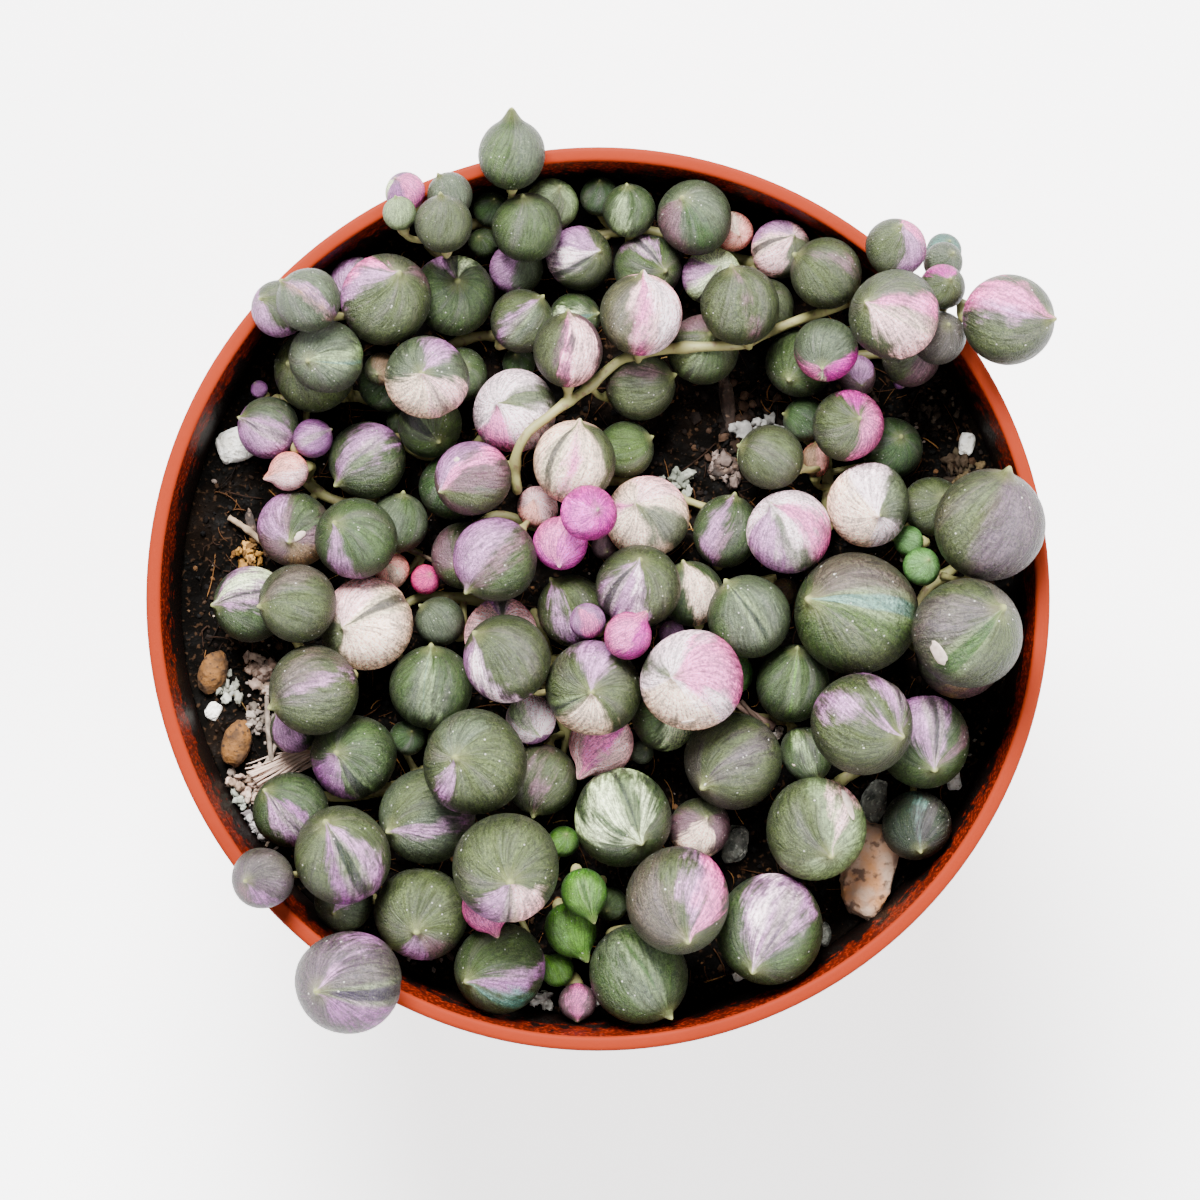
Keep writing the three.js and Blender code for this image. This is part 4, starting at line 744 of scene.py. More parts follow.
def inside_pot(points, radius):
    """True where a ball clears the soil, and the pot's wall or rim."""
    out, z = np.hypot(points[..., 0], points[..., 1]), points[..., 2]
    room = radius + STALK_CLEAR
    clear = (z > POT_HEIGHT + room) | (out > RIM_RADIUS + room) | (out < room_inside(z) - room)
    return clear & (z >= SOIL_TOP + SOIL_LUMP + room)


def grow_stalk(leaves, i, spots, balls):
    """A stalk leaves the leaf opposite its tip and joins its own stem. Of the Bezier curves over a ring of
    bending points that are clear of every other strand, the shortest is taken. Where none is, the leaf
    turns a little about its centre."""
    centre, reach = leaves.at[i], leaves.reach[i]
    ring = np.concatenate([np.tile([[r]], (2 * VIA_WAYS, 1)) for r in VIA_RINGS])[:, 0]
    angle = np.tile(np.repeat(around(VIA_WAYS), 2), len(VIA_RINGS))
    for turn in LEAF_TURNS:
        axis = leaves.aim(i, turn)
        start = centre - axis * STALK_SUNK * reach
        out = centre - axis * (reach + STALK_OUT)
        near = balls[np.linalg.norm(balls[:, :3] - out, axis=1) < STALK_SEARCH + balls[:, 3]]
        low = np.arange(len(ring)) % 2 == 0
        via = np.column_stack([out[0] + ring * np.cos(angle), out[1] + ring * np.sin(angle),
                               np.where(low, SOIL_TOP + STEM_HEIGHT, out[2])])
        far = np.linalg.norm(via[:, None] - spots[None], axis=2)
        foot = spots[far.argmin(axis=1)]
        length = np.linalg.norm(via - out, axis=1) + far.min(axis=1)
        t = (np.arange(STALK_CHECKS + 1) / STALK_CHECKS)[None, :, None]
        paths = (start * (1 - t) ** 3 + out * 3 * t * (1 - t) ** 2
                 + via[:, None] * 3 * t ** 2 * (1 - t) + foot[:, None] * t ** 3)
        own = np.linalg.norm(paths - centre, axis=2) <= leaves.radius[i]
        clear = (own | inside_pot(paths, STALK_RADIUS)).all(axis=1)
        hit = np.linalg.norm(paths[:, :, None] - near[None, None, :, :3], axis=3)
        clear &= (hit >= near[:, 3] + STALK_RADIUS + STALK_CLEAR).all(axis=(1, 2))
        if clear.any():
            best = np.where(clear, length, np.inf).argmin()
            leaves.axis[i] = axis
            return start, out, via[best], foot[best]
    raise RuntimeError(f"no clear way for the stalk of leaf {i}")


def tip_length(leaves, i):
    """A tip is shortened where it would prick the leaf beside it or the pot."""
    length = TIP_LENGTH * leaves.radius[i]
    others = leaves.number != i
    while length > TIP_LEAST:
        end = leaves.at[i] + leaves.axis[i] * (leaves.reach[i] + length + LEAF_CLEAR)
        near = np.linalg.norm(leaves.at[others] - end, axis=1) < leaves.reach[others]
        if not near.any() and inside_pot(end, 0):
            break
        length *= TIP_SHORTEN
    return length


def lay_strands():
    """Settles the leaves, then grows the stems and the stalks, each clear of what is there already."""
    leaves = Leaves()
    balls = [np.column_stack([leaves.at, leaves.reach])]
    owner = [leaves.strand]
    stems = {name: stem_curve(name, leaves) for name in STRANDS}
    spots = {}
    for name, curve in stems.items():
        string = beads(curve, STEM_RADIUS)
        balls.append(string)
        owner.append(np.full(len(string), name))
        knots = spaced(curve, max(STEM_STEPS_LEAST, round(arc_length(curve)[0][-1] / STEM_STEP)))
        share = np.array(SPOT_SHARES)[None, :, None]
        line = (knots[:-1, None] * (1 - share) + knots[1:, None] * share).reshape(-1, 3)
        spots[name] = line[line[:, 2] > SOIL_TOP + STALK_FOOT]
    blocks = np.array([row[:6] for row in LOOSE_PIECES.values()])
    half = blocks[:, 2:5].max(axis=1) / 2
    balls.append(np.column_stack([blocks[:, :2], SOIL_TOP + blocks[:, 5] - half, half]))
    owner.append(np.full(len(blocks), ""))
    stalks = []
    for i in leaves.number:
        every, whose = np.concatenate(balls), np.concatenate(owner)
        stalk = grow_stalk(leaves, i, spots[leaves.strand[i]], every[whose != leaves.strand[i]])
        stalks.append(stalk)
        string = beads(lambda at, corners=stalk: bezier(corners, at), STALK_RADIUS)
        balls.append(string)
        owner.append(np.full(len(string), leaves.strand[i]))
    return leaves, stems, stalks


# ------------------------------------------------------------------ leaves, stalks and stems

LEAF_SIDES = 40
LEAF_POLAR = np.concatenate([[0.03, 0.06, 0.1, 0.15, 0.22, 0.32], np.linspace(0.46, 2.9, 20), [3.03]])
TIP_WIDTH = 0.1  # radians from the tip within which the point rises
TIP_RISE = 1.4  # a fine tip stands this much higher than the solid's blunt one
POINTED_WIDTH = 0.24  # the same for a young leaf that is drawn out to a point
POINTED_RISE = 3.2
STREAK_TWIST = 0.35  # radians that the streaks turn round the leaf for each radian from the tip
STREAK_LENGTH = 0.22  # how fast the streaks change along the leaf, against round it
STEM_SIDES = 10
STALK_SIDES = 8
STALK_RINGS = 15
STEM_RING_STEP = 0.7
# mm: a stalk's radius, then how much thicker a stalk or a stem is at a joint, and over what length
STALK_THIN = 0.33
AT_LEAF = (0.34, 0.55)
AT_STEM = (0.2, 0.7)
AT_NODE = (0.17, 0.8)
GROWING_END = 0.22  # mm by which the last fifth of a stem gets thinner
STEM_UNEVEN = 0.05
SCAR_THICK = 0.13  # mm
SCAR_OUT = 1.004  # a scar's middle, as a share of the leaf's radius

# the leaf's shape, as shares of its radius
GROOVE = 0.035  # the depth of the clear line
GROOVE_LEAST = 0.12  # and its least half width, in radians
OVAL = 0.018
THREE_SIDED = 0.012
UNEVEN = 0.03
UNEVEN_CELL = 0.7
NO_TIP = (0.31, -0.95, 0.05)  # a direction that no leaf's tip has
SEED_STEP = 0.618  # sets one leaf's noise apart from the next one's
NOWHERE = -4.0  # a sector's field where the leaf has no such sector
SECTOR_TONES = ("tone_first", "tone_second", "tone_third")


def turned_by(longitude, centre):
    """How far a longitude lies from a centre, round the leaf, in radians."""
    return np.abs((longitude - centre + np.pi) % (2 * np.pi) - np.pi)


def sector_of(look, axis, side, other):
    """Where a sector lies round the leaf: its two edges leave the tip in known directions seen from above.
    Each edge is lifted into the plane across the tip, and its longitude is read there."""
    tone, direction, half = look
    edges = np.radians([direction - half, direction + half])
    flat = np.column_stack([np.cos(edges), np.sin(edges)])
    lifted = unit(np.column_stack([flat, -(flat @ axis[:2]) / axis[2]]))
    first, last = np.arctan2(lifted @ other, lifted @ side)
    wide = (last - first) % (2 * np.pi)
    return tone, first + wide / 2, wide / 2


def read_look(text):
    """A leaf's ground tone, its sectors as (tone, direction, half width), and whether it is pointed."""
    ground_tone, *rest = [part.strip() for part in text.split(";")]
    sectors = [part.split() for part in rest if part != "pointed"]
    return ground_tone, [(tone, float(a), float(b)) for tone, a, b in sectors], "pointed" in rest


def leaf_part(leaves, i):
    """One leaf. In its own frame the third axis runs to the tip, and longitudes are measured from the first,
    which lies across it. A point is the unit ball's, pulled out of round by two waves round the leaf and
    by noise, with a shallow groove along the clear line, and raised at the tip by a bell curve."""
    axis = leaves.axis[i]
    side = unit(np.cross(NO_TIP, axis))
    other = np.cross(axis, side)
    ground_tone, looks, pointed = read_look(leaves.look[i])
    windows = [sector_of(look, axis, side, other) for look in looks if look[0].endswith("window")]
    patches = [sector_of(look, axis, side, other) for look in looks if not look[0].endswith("window")]
    if len(patches) > len(SECTOR_TONES) or len(windows) > 1:
        raise RuntimeError(f"leaf {i} has more sectors than it can show")
    polar, longitude, faces = ball_grid(LEAF_POLAR, LEAF_SIDES)
    radius, seed = leaves.radius[i], i * SEED_STEP
    fields = np.full((len(polar), len(SECTOR_TONES)), NOWHERE)
    tones = {"tone_ground": ground_tone, "tone_first": "white", "tone_second": "white",
             "tone_third": "white", "tone_window": "window"}
    for k, (tone, centre, half) in enumerate(patches):
        fields[:, k] = half - turned_by(longitude, centre)
        tones[SECTOR_TONES[k]] = tone
    window = np.full(len(polar), NOWHERE)
    groove = np.zeros(len(polar))
    if windows:
        tone, centre, half = windows[0]
        away = turned_by(longitude, centre)
        window = half - away
        groove = GROOVE * bell(away, max(half, GROOVE_LEAST)) * np.sin(polar) ** 2
        tones["tone_window"] = tone
    swell = 1 + OVAL * np.sin(2 * longitude + 9 * seed) * np.sin(polar)
    swell += THREE_SIDED * np.sin(3 * longitude + 5 * seed) * np.sin(polar) - groove
    ball = on_ball(polar, longitude)
    swell += UNEVEN * (lattice_noise(ball + seed, UNEVEN_CELL, 2) - 0.5)
    across = np.sin(polar) * swell
    tall, wide = (POINTED_RISE, POINTED_WIDTH) if pointed else (TIP_RISE, TIP_WIDTH)
    rise = tall * tip_length(leaves, i) / radius * bell(polar, wide)
    along = leaves.stretch[i] * np.cos(polar) * (1 - groove) + rise
    local = np.stack([across * np.cos(longitude), across * np.sin(longitude), along], -1)
    points = leaves.at[i] + radius * local @ np.stack([side, other, axis])
    # how far each point faces up from the leaf's centre: it paints shade on the flanks and a sheen on the
    # top
    facing_up = unit(points - leaves.at[i])[:, 2]
    twisted = longitude + STREAK_TWIST * polar
    flow = np.stack([np.cos(twisted), np.sin(twisted), STREAK_LENGTH * np.cos(polar)], -1)
    count = len(polar)
    return {
        "points": points, **faces, "material": 0,
        "fields": {
            "leaf_at": ball, "leaf_flow": flow, "leaf_sectors": fields,
            "leaf_marks": np.column_stack([window, polar, facing_up]),
            "leaf_seed": np.full(count, (seed * 7.3) % 5),
            **{key: np.tile(to_linear(TONES[tone]), (count, 1)) for key, tone in tones.items()},
        },
    }


def stalk_part(corners, reach):
    """A leaf stalk: a tube that flares into the leaf at one end and into the stem at the other."""
    at = np.linspace(0, 1, STALK_RINGS)
    path = bezier(corners, at)
    run = run_along(path)
    from_leaf = np.maximum(run - STALK_SUNK * reach, 0)
    radii = STALK_THIN + AT_LEAF[0] * bell(from_leaf, AT_LEAF[1])
    radii += AT_STEM[0] * bell(run[-1] - run, AT_STEM[1])
    return {**tube(path, radii, STALK_SIDES), "material": 1}


def stem_part(curve, feet):
    """A stem: a tube with a swollen node wherever a stalk joins it, drawn thinner at its growing end."""
    length = arc_length(curve)[0][-1]
    path = spaced(curve, max(8, round(length / STEM_RING_STEP)))
    near = np.linalg.norm(path[:, None] - feet[None], axis=2).min(axis=1)
    share = np.linspace(0, 1, len(path))
    radii = STEM_RADIUS + AT_NODE[0] * bell(near, AT_NODE[1]) - GROWING_END * smoothstep(share, 0.8, 1)
    radii += STEM_UNEVEN * (lattice_noise(path, 1.6, 4) - 0.5)
    return {**tube(path, radii, STEM_SIDES), "material": 1}


LEAF_FIELDS = ("leaf_at", "leaf_flow", "leaf_seed", "leaf_sectors", "leaf_marks", "tone_ground",
               "tone_window", *SECTOR_TONES)


def leaf_skin(settings):
    """Skin of a water-filled succulent leaf: a thin waxy cuticle, so a broad soft gloss under a grey bloom
    on the side that faces the sky, partly a painted sheen of the light from above, with painted shade on
    the flanks, over green, cream, pink and lilac sectors with ragged edges, fine streaks from tip to stalk,
    a clear line with pale edges, a pale point, and small white specks painted as glints."""
    material, tree = new_material("leaf_skin")
    fields = {name: add_node(tree, "Attribute", {"attribute_name": name}) for name in LEAF_FIELDS}
    at, streaky = fields["leaf_at"].outputs["Vector"], fields["leaf_flow"].outputs["Vector"]
    seed = fields["leaf_seed"].outputs["Fac"]
    sectors = add_node(tree, "SeparateXYZ", {0: fields["leaf_sectors"].outputs["Vector"]})
    marks = add_node(tree, "SeparateXYZ", {0: fields["leaf_marks"].outputs["Vector"]})
    window_at, polar, facing_up = marks.outputs
    even = {"noise_dimensions": "4D", "Vector": at, "W": seed}
    drawn_out = {"noise_dimensions": "4D", "Vector": streaky, "W": seed}
    broad = add_node(tree, "TexNoise", {**even, "Scale": 1.6, "Detail": 3.0})
    fine = add_node(tree, "TexNoise", {**even, "Scale": 17.0, "Detail": 4.0, "Roughness": 0.75})
    streaks = add_node(tree, "TexNoise", {**drawn_out, "Scale": 13.0, "Detail": 3.0, "Roughness": 0.7})
    coarse = add_node(tree, "TexNoise", {**drawn_out, "Scale": 4.0, "Detail": 2.0})
    cloud = add_node(tree, "TexNoise", {**drawn_out, "Scale": 2.3, "Detail": 4.0, "Roughness": 0.6})
    ragged = -1.4
    for noise, strength in ((coarse, 0.9), (broad, 1.3), (streaks, 0.6)):
        ragged = add_node(tree, "Math", {"operation": "MULTIPLY_ADD", 0: noise, 1: strength, 2: ragged})
    colour = fields["tone_ground"]
    for channel, tone in enumerate(SECTOR_TONES):
        edge = add_node(tree, "Math", {"operation": "ADD", 0: sectors.outputs[channel], 1: ragged})
        mask = add_node(tree, "MapRange", {**SMOOTH, VALUE: edge, LOW: -0.22, HIGH: 0.26, TO_HIGH: 0.95})
        colour = add_node(tree, "Mix", {**COLOURS, FACTOR: mask, FIRST: colour, SECOND: fields[tone]})
    # the clear line and its pale edges fade out on the way to the stalk
    fade = add_node(tree, "MapRange", {
        **SMOOTH, VALUE: polar, LOW: 1.5, HIGH: 2.3, TO_LOW: 1.0, TO_HIGH: 0.0})
    line = add_node(tree, "Math", {"operation": "MULTIPLY_ADD", 0: coarse, 1: 0.12, 2: window_at})
    clear = add_node(tree, "MapRange", {**SMOOTH, VALUE: line, LOW: 0.03, HIGH: 0.10, TO_HIGH: 0.9})
    near = add_node(tree, "Math", {"operation": "ABSOLUTE", 0: line})
    border = add_node(tree, "MapRange", {
        **SMOOTH, VALUE: near, LOW: 0.0, HIGH: 0.15, TO_LOW: 0.45, TO_HIGH: 0.0})
    for mask, tone in ((border, settings.window_edge), (clear, fields["tone_window"])):
        amount = add_node(tree, "Math", {"operation": "MULTIPLY", 0: mask, 1: fade})
        colour = add_node(tree, "Mix", {**COLOURS, FACTOR: amount, FIRST: colour, SECOND: tone})
    # a pink flush in clouds, as on every leaf of a variegated plant
    flush = add_node(tree, "MapRange", {**SMOOTH, VALUE: cloud, LOW: 0.48, HIGH: 0.72, TO_HIGH: 0.3})
    colour = add_node(tree, "Mix", {**LIGHTEN, FACTOR: flush, FIRST: colour, SECOND: settings.flush})
    # streaks and blotches lighten and darken whatever sector they lie on; the flanks get painted shade,
    # darker and deeper in colour than the side that faces the sky
    streaked = add_node(tree, "MapRange", {
        VALUE: streaks, LOW: 0.4, HIGH: 0.6, TO_LOW: 0.64, TO_HIGH: 1.38})
    shade = streaked
    # the last factor is painted shade: the flanks darker than the side that faces up
    for source, low, high, least, most in ((broad, 0.35, 0.65, 0.78, 1.16), (fine, 0.4, 0.6, 0.58, 1.46),
                                           (facing_up, 0.0, 0.85, 0.76, 1.08)):
        part = add_node(tree, "MapRange", {
            VALUE: source, LOW: low, HIGH: high, TO_LOW: least, TO_HIGH: most})
        shade = add_node(tree, "Math", {"operation": "MULTIPLY", 0: shade, 1: part})
    colour = add_node(tree, "VectorMath", {"operation": "SCALE", 0: colour, "Scale": shade})
    # painted shade: the flanks are drawn deeper and darker in colour than the top
    painted_flank_shade = add_node(tree, "MapRange", {VALUE: facing_up, LOW: 0.1, HIGH: 0.8, TO_LOW: 1.7, TO_HIGH: 0.96})
    colour = add_node(tree, "Gamma", {0: colour, 1: painted_flank_shade})
    # a net of fine pale veins: the thin lines along which two of the noises are equal
    crossing = add_node(tree, "Math", {"operation": "SUBTRACT", 0: fine, 1: streaks})
    crossing = add_node(tree, "Math", {"operation": "ABSOLUTE", 0: crossing})
    veins = add_node(tree, "MapRange", {VALUE: crossing, LOW: 0.0, HIGH: 0.03, TO_LOW: 0.5, TO_HIGH: 0.0})
    paler = add_node(tree, "Mix", {**COLOURS, FACTOR: 0.36, FIRST: colour, SECOND: settings.vein})
    # the wax bloom lies on the side that faces the sky, thicker on some leaves than on others; it is partly
    # real wax and partly a painted sheen of the light from above
    bloom_and_sheen = add_node(tree, "MapRange", {**SMOOTH, VALUE: facing_up, LOW: 0.45, HIGH: 1.0, TO_HIGH: 0.14})
    thick = add_node(tree, "MapRange", {VALUE: cloud, LOW: 0.35, HIGH: 0.65, TO_LOW: 0.4, TO_HIGH: 1.6})
    for factor in (streaked, thick):
        bloom_and_sheen = add_node(tree, "Math", {"operation": "MULTIPLY", 0: bloom_and_sheen, 1: factor})
    # the point, and the paler skin round it
    glow, point = (add_node(tree, "MapRange", {
        **SMOOTH, VALUE: polar, LOW: low, HIGH: high, TO_LOW: most, TO_HIGH: 0.0})
        for low, high, most in ((0.06, 0.4, 0.18), (0.03, 0.1, 0.8)))
    for mask, tone in ((veins, paler), (bloom_and_sheen, settings.wax_and_sheen), (glow, settings.tip), (point, settings.tip)):
        colour = add_node(tree, "Mix", {**LIGHTEN, FACTOR: mask, FIRST: colour, SECOND: tone})
    # small white specks painted as glints of light, on a leaf in a few places only
    cells = add_node(tree, "TexVoronoi", {
        "voronoi_dimensions": "4D", "Vector": at, "W": seed, "Scale": 8.0, "Randomness": 1.0})
    painted_glint = add_node(tree, "MapRange", {VALUE: cells, LOW: 0.10, HIGH: 0.20, TO_LOW: 1.0, TO_HIGH: 0.0})
    some = add_node(tree, "Math", {"operation": "GREATER_THAN", 0: broad, 1: 0.48})
    for factor in (some, 0.75):
        painted_glint = add_node(tree, "Math", {"operation": "MULTIPLY", 0: painted_glint, 1: factor})
    colour = add_node(tree, "Mix", {**COLOURS, FACTOR: painted_glint, FIRST: colour, SECOND: settings.painted_glint})
    gloss = add_node(tree, "MapRange", {VALUE: streaks, LOW: 0.3, HIGH: 0.7, TO_LOW: 0.3, TO_HIGH: 0.5})
    relief = add_node(tree, "Math", {"operation": "MULTIPLY_ADD", 0: fine, 1: 1.5, 2: streaks})
    bump = add_node(tree, "Bump", {"Strength": 0.9, "Distance": settings.relief, "Height": relief})
    shader = add_node(tree, "BsdfPrincipled", {
        "Base Color": colour, "Roughness": gloss, "IOR": 1.36, "Specular IOR Level": 0.45, "Normal": bump})
    add_node(tree, "OutputMaterial", {"Surface": shader})
    return material


def dry_callus(settings):
    """Callus over an old wound: thin, papery and pinkish white, and rougher than the skin round it."""
    layers = [(1600.0, 3.0, None, settings.callus_pale)]
    return mottled("dry_callus", 0.7, 1.4, settings.callus_deep, layers, 0.7, 0.15 * MM)


def stem_skin(settings):
    """Skin of a thin succulent stem: dull, pale green turning to tan, with corky brown flecks."""
    layers = [(260.0, 3.0, None, settings.stem_tan), (1500.0, 2.0, (0.58, 0.68, 0.75), settings.cork)]
    return mottled("stem_skin", 0.55, 1.42, settings.stem_green, layers, 0.6, 0.1 * MM)


# strand, which of its leaves, x and y from the leaf's centre, length, width, turn in degrees
SCARS = [
    ("strand_east", 2, -3.0, -2.0, 2.8, 1.5, 125),
    ("strand_south_core", 8, -0.5, -4.0, 1.5, 0.5, 10),
    ("strand_south_east", 3, 3.2, 2.3, 3.2, 1.1, 110),
    ("strand_left", 4, 0.6, -0.7, 1.4, 0.8, 30),
    ("strand_on_top", 1, -1.6, 1.8, 0.7, 0.6, 0),
    ("strand_south_core", 7, -1.2, -1.0, 0.5, 0.4, 0),
]


def scar_part(leaves, i, x, y, length, width, turn):
    """A scar: a flat lens, its edge broken up by noise, laid on the leaf right below the given spot."""
    polar, longitude, faces = ball_grid(np.linspace(0.3, np.pi - 0.3, 7), 18)
    up = unit(np.array([x, y, np.sqrt(leaves.radius[i] ** 2 - x * x - y * y)]))
    side = unit(np.cross([np.sin(np.radians(turn)), -np.cos(np.radians(turn)), 0], up))
    circle = np.stack([np.cos(longitude), np.sin(longitude), 0 * polar], -1)
    edge = 0.75 + 0.5 * lattice_noise(circle, 0.5, i)
    local = np.stack([length / 2 * edge * np.sin(polar) * np.cos(longitude),
                      width / 2 * edge * np.sin(polar) * np.sin(longitude),
                      SCAR_THICK * np.cos(polar)], -1)
    middle = leaves.at[i] + leaves.radius[i] * SCAR_OUT * up
    points = middle + local @ np.stack([side, np.cross(up, side), up])
    return {"points": points, **faces, "material": 2}


def build_strands(settings):
    """All strands: for each, one piece of its stem, its stalks and its leaves."""
    leaves, stems, stalks = lay_strands()
    skins = [leaf_skin(settings), stem_skin(settings), dry_callus(settings)]
    for name, curve in stems.items():
        own = leaves.number[leaves.strand == name]
        feet = np.array([stalks[i][3] for i in own])
        parts = [leaf_part(leaves, i) for i in own]
        parts += [stalk_part(stalks[i], leaves.reach[i]) for i in own]
        parts.append(stem_part(curve, feet))
        parts += [scar_part(leaves, own[scar[1] - 1], *scar[2:]) for scar in SCARS if scar[0] == name]
        piece = add_mesh(f"{name}_living", parts, skins)
        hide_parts(name)
        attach(piece, "root")


# ------------------------------------------------------------------ the pot

LATHE_SIDES = 180
HOLE_SIDES = 28
FILLET_STEPS = 5
WALL_RINGS = 14
CORNER_RADII = (0, 0.2, 0.2, 0.2, 0.6, 0.3, 0.15, 0.45, 0.4, 1.0)  # mm, along the profile from the pad
HOLE_CUT = (-1.0, 3.5)  # mm: the heights between which a drain hole is cut, past both faces of the floor
WET_LEAST = 0.02  # marks the whole inner wall as damp, right up to the rim


def rounded(profile, radii):
    """A profile whose corners are rounded: each corner is replaced by the quadratic curve that leaves it at
    its radius along one side and joins at the same distance along the other."""
    points = [profile[0]]
    for before, corner, after, radius in zip(profile[:-2], profile[1:-1], profile[2:], radii):
        before, corner, after = (np.array(p, float) for p in (before, corner, after))
        if radius == 0:
            points.append(corner)
            continue
        first = corner + (before - corner) / np.linalg.norm(before - corner) * radius
        last = corner + (after - corner) / np.linalg.norm(after - corner) * radius
        for t in np.linspace(0, 1, FILLET_STEPS):
            points.append(first * (1 - t) ** 2 + corner * 2 * t * (1 - t) + last * t ** 2)
    points.append(profile[-1])
    return np.array(points, float)


def turned(profile, sides):
    """A profile of radius and height, from the axis below to the axis above, carried round the axis."""
    inner = profile[1:-1]
    turn = around(sides)
    rings = np.stack([inner[::-1, None, 0] * np.cos(turn), inner[::-1, None, 0] * np.sin(turn),
                      np.broadcast_to(inner[::-1, None, 1], (len(inner), sides))], -1)
    poles = np.array([[0, 0, profile[-1][1]], [0, 0, profile[0][1]]])
    points = np.concatenate([poles[:1], rings.reshape(-1, 3), poles[1:]])
    return {"points": points, **ring_faces(len(inner), sides)}


def pot_plastic(settings):
    """Injection-moulded polypropylene: matt orange, a little uneven in tone, with a fine grain. Inside it is
    damp: darker, redder and less matt, with fine drops painted bright as their highlights, and near-black
    specks that thicken towards the soil."""
    material, tree = new_material("pot_polypropylene")
    place = add_node(tree, "TexCoord", {}).outputs["Object"]
    wet = add_node(tree, "Attribute", {"attribute_name": "wet"}).outputs["Fac"]
    grain = add_node(tree, "TexNoise", {"Vector": place, "Scale": 1400.0, "Detail": 2.0})
    cloud = add_node(tree, "TexNoise", {"Vector": place, "Scale": 60.0, "Detail": 4.0})
    drops = add_node(tree, "TexVoronoi", {"Vector": place, "Scale": 2300.0, "Randomness": 1.0})
    specks = add_node(tree, "TexNoise", {"Vector": place, "Scale": 700.0, "Detail": 4.0})
    tone = add_node(tree, "Mix", {
        **COLOURS, FACTOR: cloud, FIRST: settings.plastic_deep, SECOND: settings.plastic_pale})
    # painted highlights: the drops get a bright tone that stands for the light they catch
    drop_highlight_mask = add_node(tree, "MapRange", {VALUE: drops, LOW: 0.15, HIGH: 0.5, TO_LOW: 1.0, TO_HIGH: 0.0})
    inside = add_node(tree, "Mix", {
        **COLOURS, FACTOR: drop_highlight_mask, FIRST: settings.wet_deep, SECOND: settings.drop_highlight})
    damp = add_node(tree, "Math", {"operation": "GREATER_THAN", 0: wet, 1: 0.01})
    colour = add_node(tree, "Mix", {**COLOURS, FACTOR: damp, FIRST: tone, SECOND: inside})
    # near-black specks that thicken towards the soil, so the inner wall grows darker downwards
    dark_specks = add_node(tree, "Math", {"operation": "MULTIPLY_ADD", 0: wet, 1: 0.42, 2: specks})
    dark_specks = add_node(tree, "MapRange", {VALUE: dark_specks, LOW: 0.66, HIGH: 0.72, TO_HIGH: 0.98})
    dark_specks = add_node(tree, "Math", {"operation": "MULTIPLY", 0: dark_specks, 1: damp})
    colour = add_node(tree, "Mix", {**COLOURS, FACTOR: dark_specks, FIRST: colour, SECOND: settings.dark_specks})
    gloss = add_node(tree, "MapRange", {VALUE: damp, LOW: 0.0, HIGH: 1.0, TO_LOW: 0.65, TO_HIGH: 0.5})
    drop = add_node(tree, "MapRange", {VALUE: drops, LOW: 0.2, HIGH: 0.45, TO_LOW: 1.0, TO_HIGH: 0.0})
    drop = add_node(tree, "Math", {"operation": "MULTIPLY", 0: drop, 1: damp})
    relief = add_node(tree, "Math", {"operation": "MULTIPLY_ADD", 0: grain, 1: 0.25, 2: drop})
    bump = add_node(tree, "Bump", {"Strength": 0.5, "Distance": settings.relief, "Height": relief})
    shader = add_node(tree, "BsdfPrincipled", {
        "Base Color": colour, "Roughness": gloss, "IOR": 1.49, "Specular IOR Level": 0.12, "Normal": bump})
    add_node(tree, "OutputMaterial", {"Surface": shader})
    return material


def build_pot(settings):
    """The pot: the solid's own profile with rounded edges, turned in many sides, its drain holes cut."""
    collar, floor_top = POT_HEIGHT - COLLAR_HEIGHT, FOOT_HEIGHT + FLOOR
    foot = outer_wall(0)
    profile = [
        (0, 0), (PAD_RADIUS, 0), (PAD_RADIUS + FOOT_HEIGHT, FOOT_HEIGHT),
        (foot - FOOT_WIDTH - FOOT_HEIGHT, FOOT_HEIGHT), (foot - FOOT_WIDTH, 0), (foot, 0),
        (outer_wall(collar), collar), (outer_wall(collar) + COLLAR_STEP, collar + EDGE),
        (RIM_RADIUS, POT_HEIGHT),
        (INNER_RIM, POT_HEIGHT), (inner_wall(floor_top), floor_top), (0, floor_top)]
    line = rounded(profile, CORNER_RADII)
    # the inner wall is the line's longest way down, and it gets more rings where it shows
    high = np.linspace(POT_HEIGHT - 1, SOIL_TOP - 1, WALL_RINGS)
    k = 1 + np.diff(line[:, 1]).argmin()
    line = np.concatenate([line[:k], np.column_stack([inner_wall(high), high]), line[k:]])
    wall = turned(line, LATHE_SIDES)
    out, z = np.hypot(wall["points"][:, 0], wall["points"][:, 1]), wall["points"][:, 2]
    inner = (out < inner_wall(z) + 0.05) & (z < POT_HEIGHT - 0.3) & (z > floor_top - 0.01)
    wet = np.where(inner, WET_LEAST + smoothstep(POT_HEIGHT - z, 0, POT_HEIGHT - SOIL_TOP), 0)
    piece = add_mesh("nursery_pot", [{**wall, "fields": {"wet": wet}}], [pot_plastic(settings)])
    holes = [(DRAIN_CIRCLE * np.cos(turn), DRAIN_CIRCLE * np.sin(turn)) for turn in around(DRAIN_HOLES)]
    cutters = [tube([(x, y, z) for z in HOLE_CUT], DRAIN_RADIUS, HOLE_SIDES) for x, y in holes]
    cutter = add_mesh("drain_cutter", cutters, [])
    cut = piece.modifiers.new("drain_holes", "BOOLEAN")
    cut.operation, cut.solver, cut.object = "DIFFERENCE", "EXACT", cutter
    bpy.context.view_layer.update()
    done = bpy.data.meshes.new_from_object(piece.evaluated_get(bpy.context.evaluated_depsgraph_get()))
    piece.modifiers.clear()
    piece.data = done
    bpy.data.objects.remove(cutter)
    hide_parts("pot")
    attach(piece, "root")


# ------------------------------------------------------------------ soil and what lies on it

SOIL_RINGS = 150
SOIL_SIDES = 300
WALL_GAP = 0.05  # mm between the soil and the wall, so that their faces don't fight


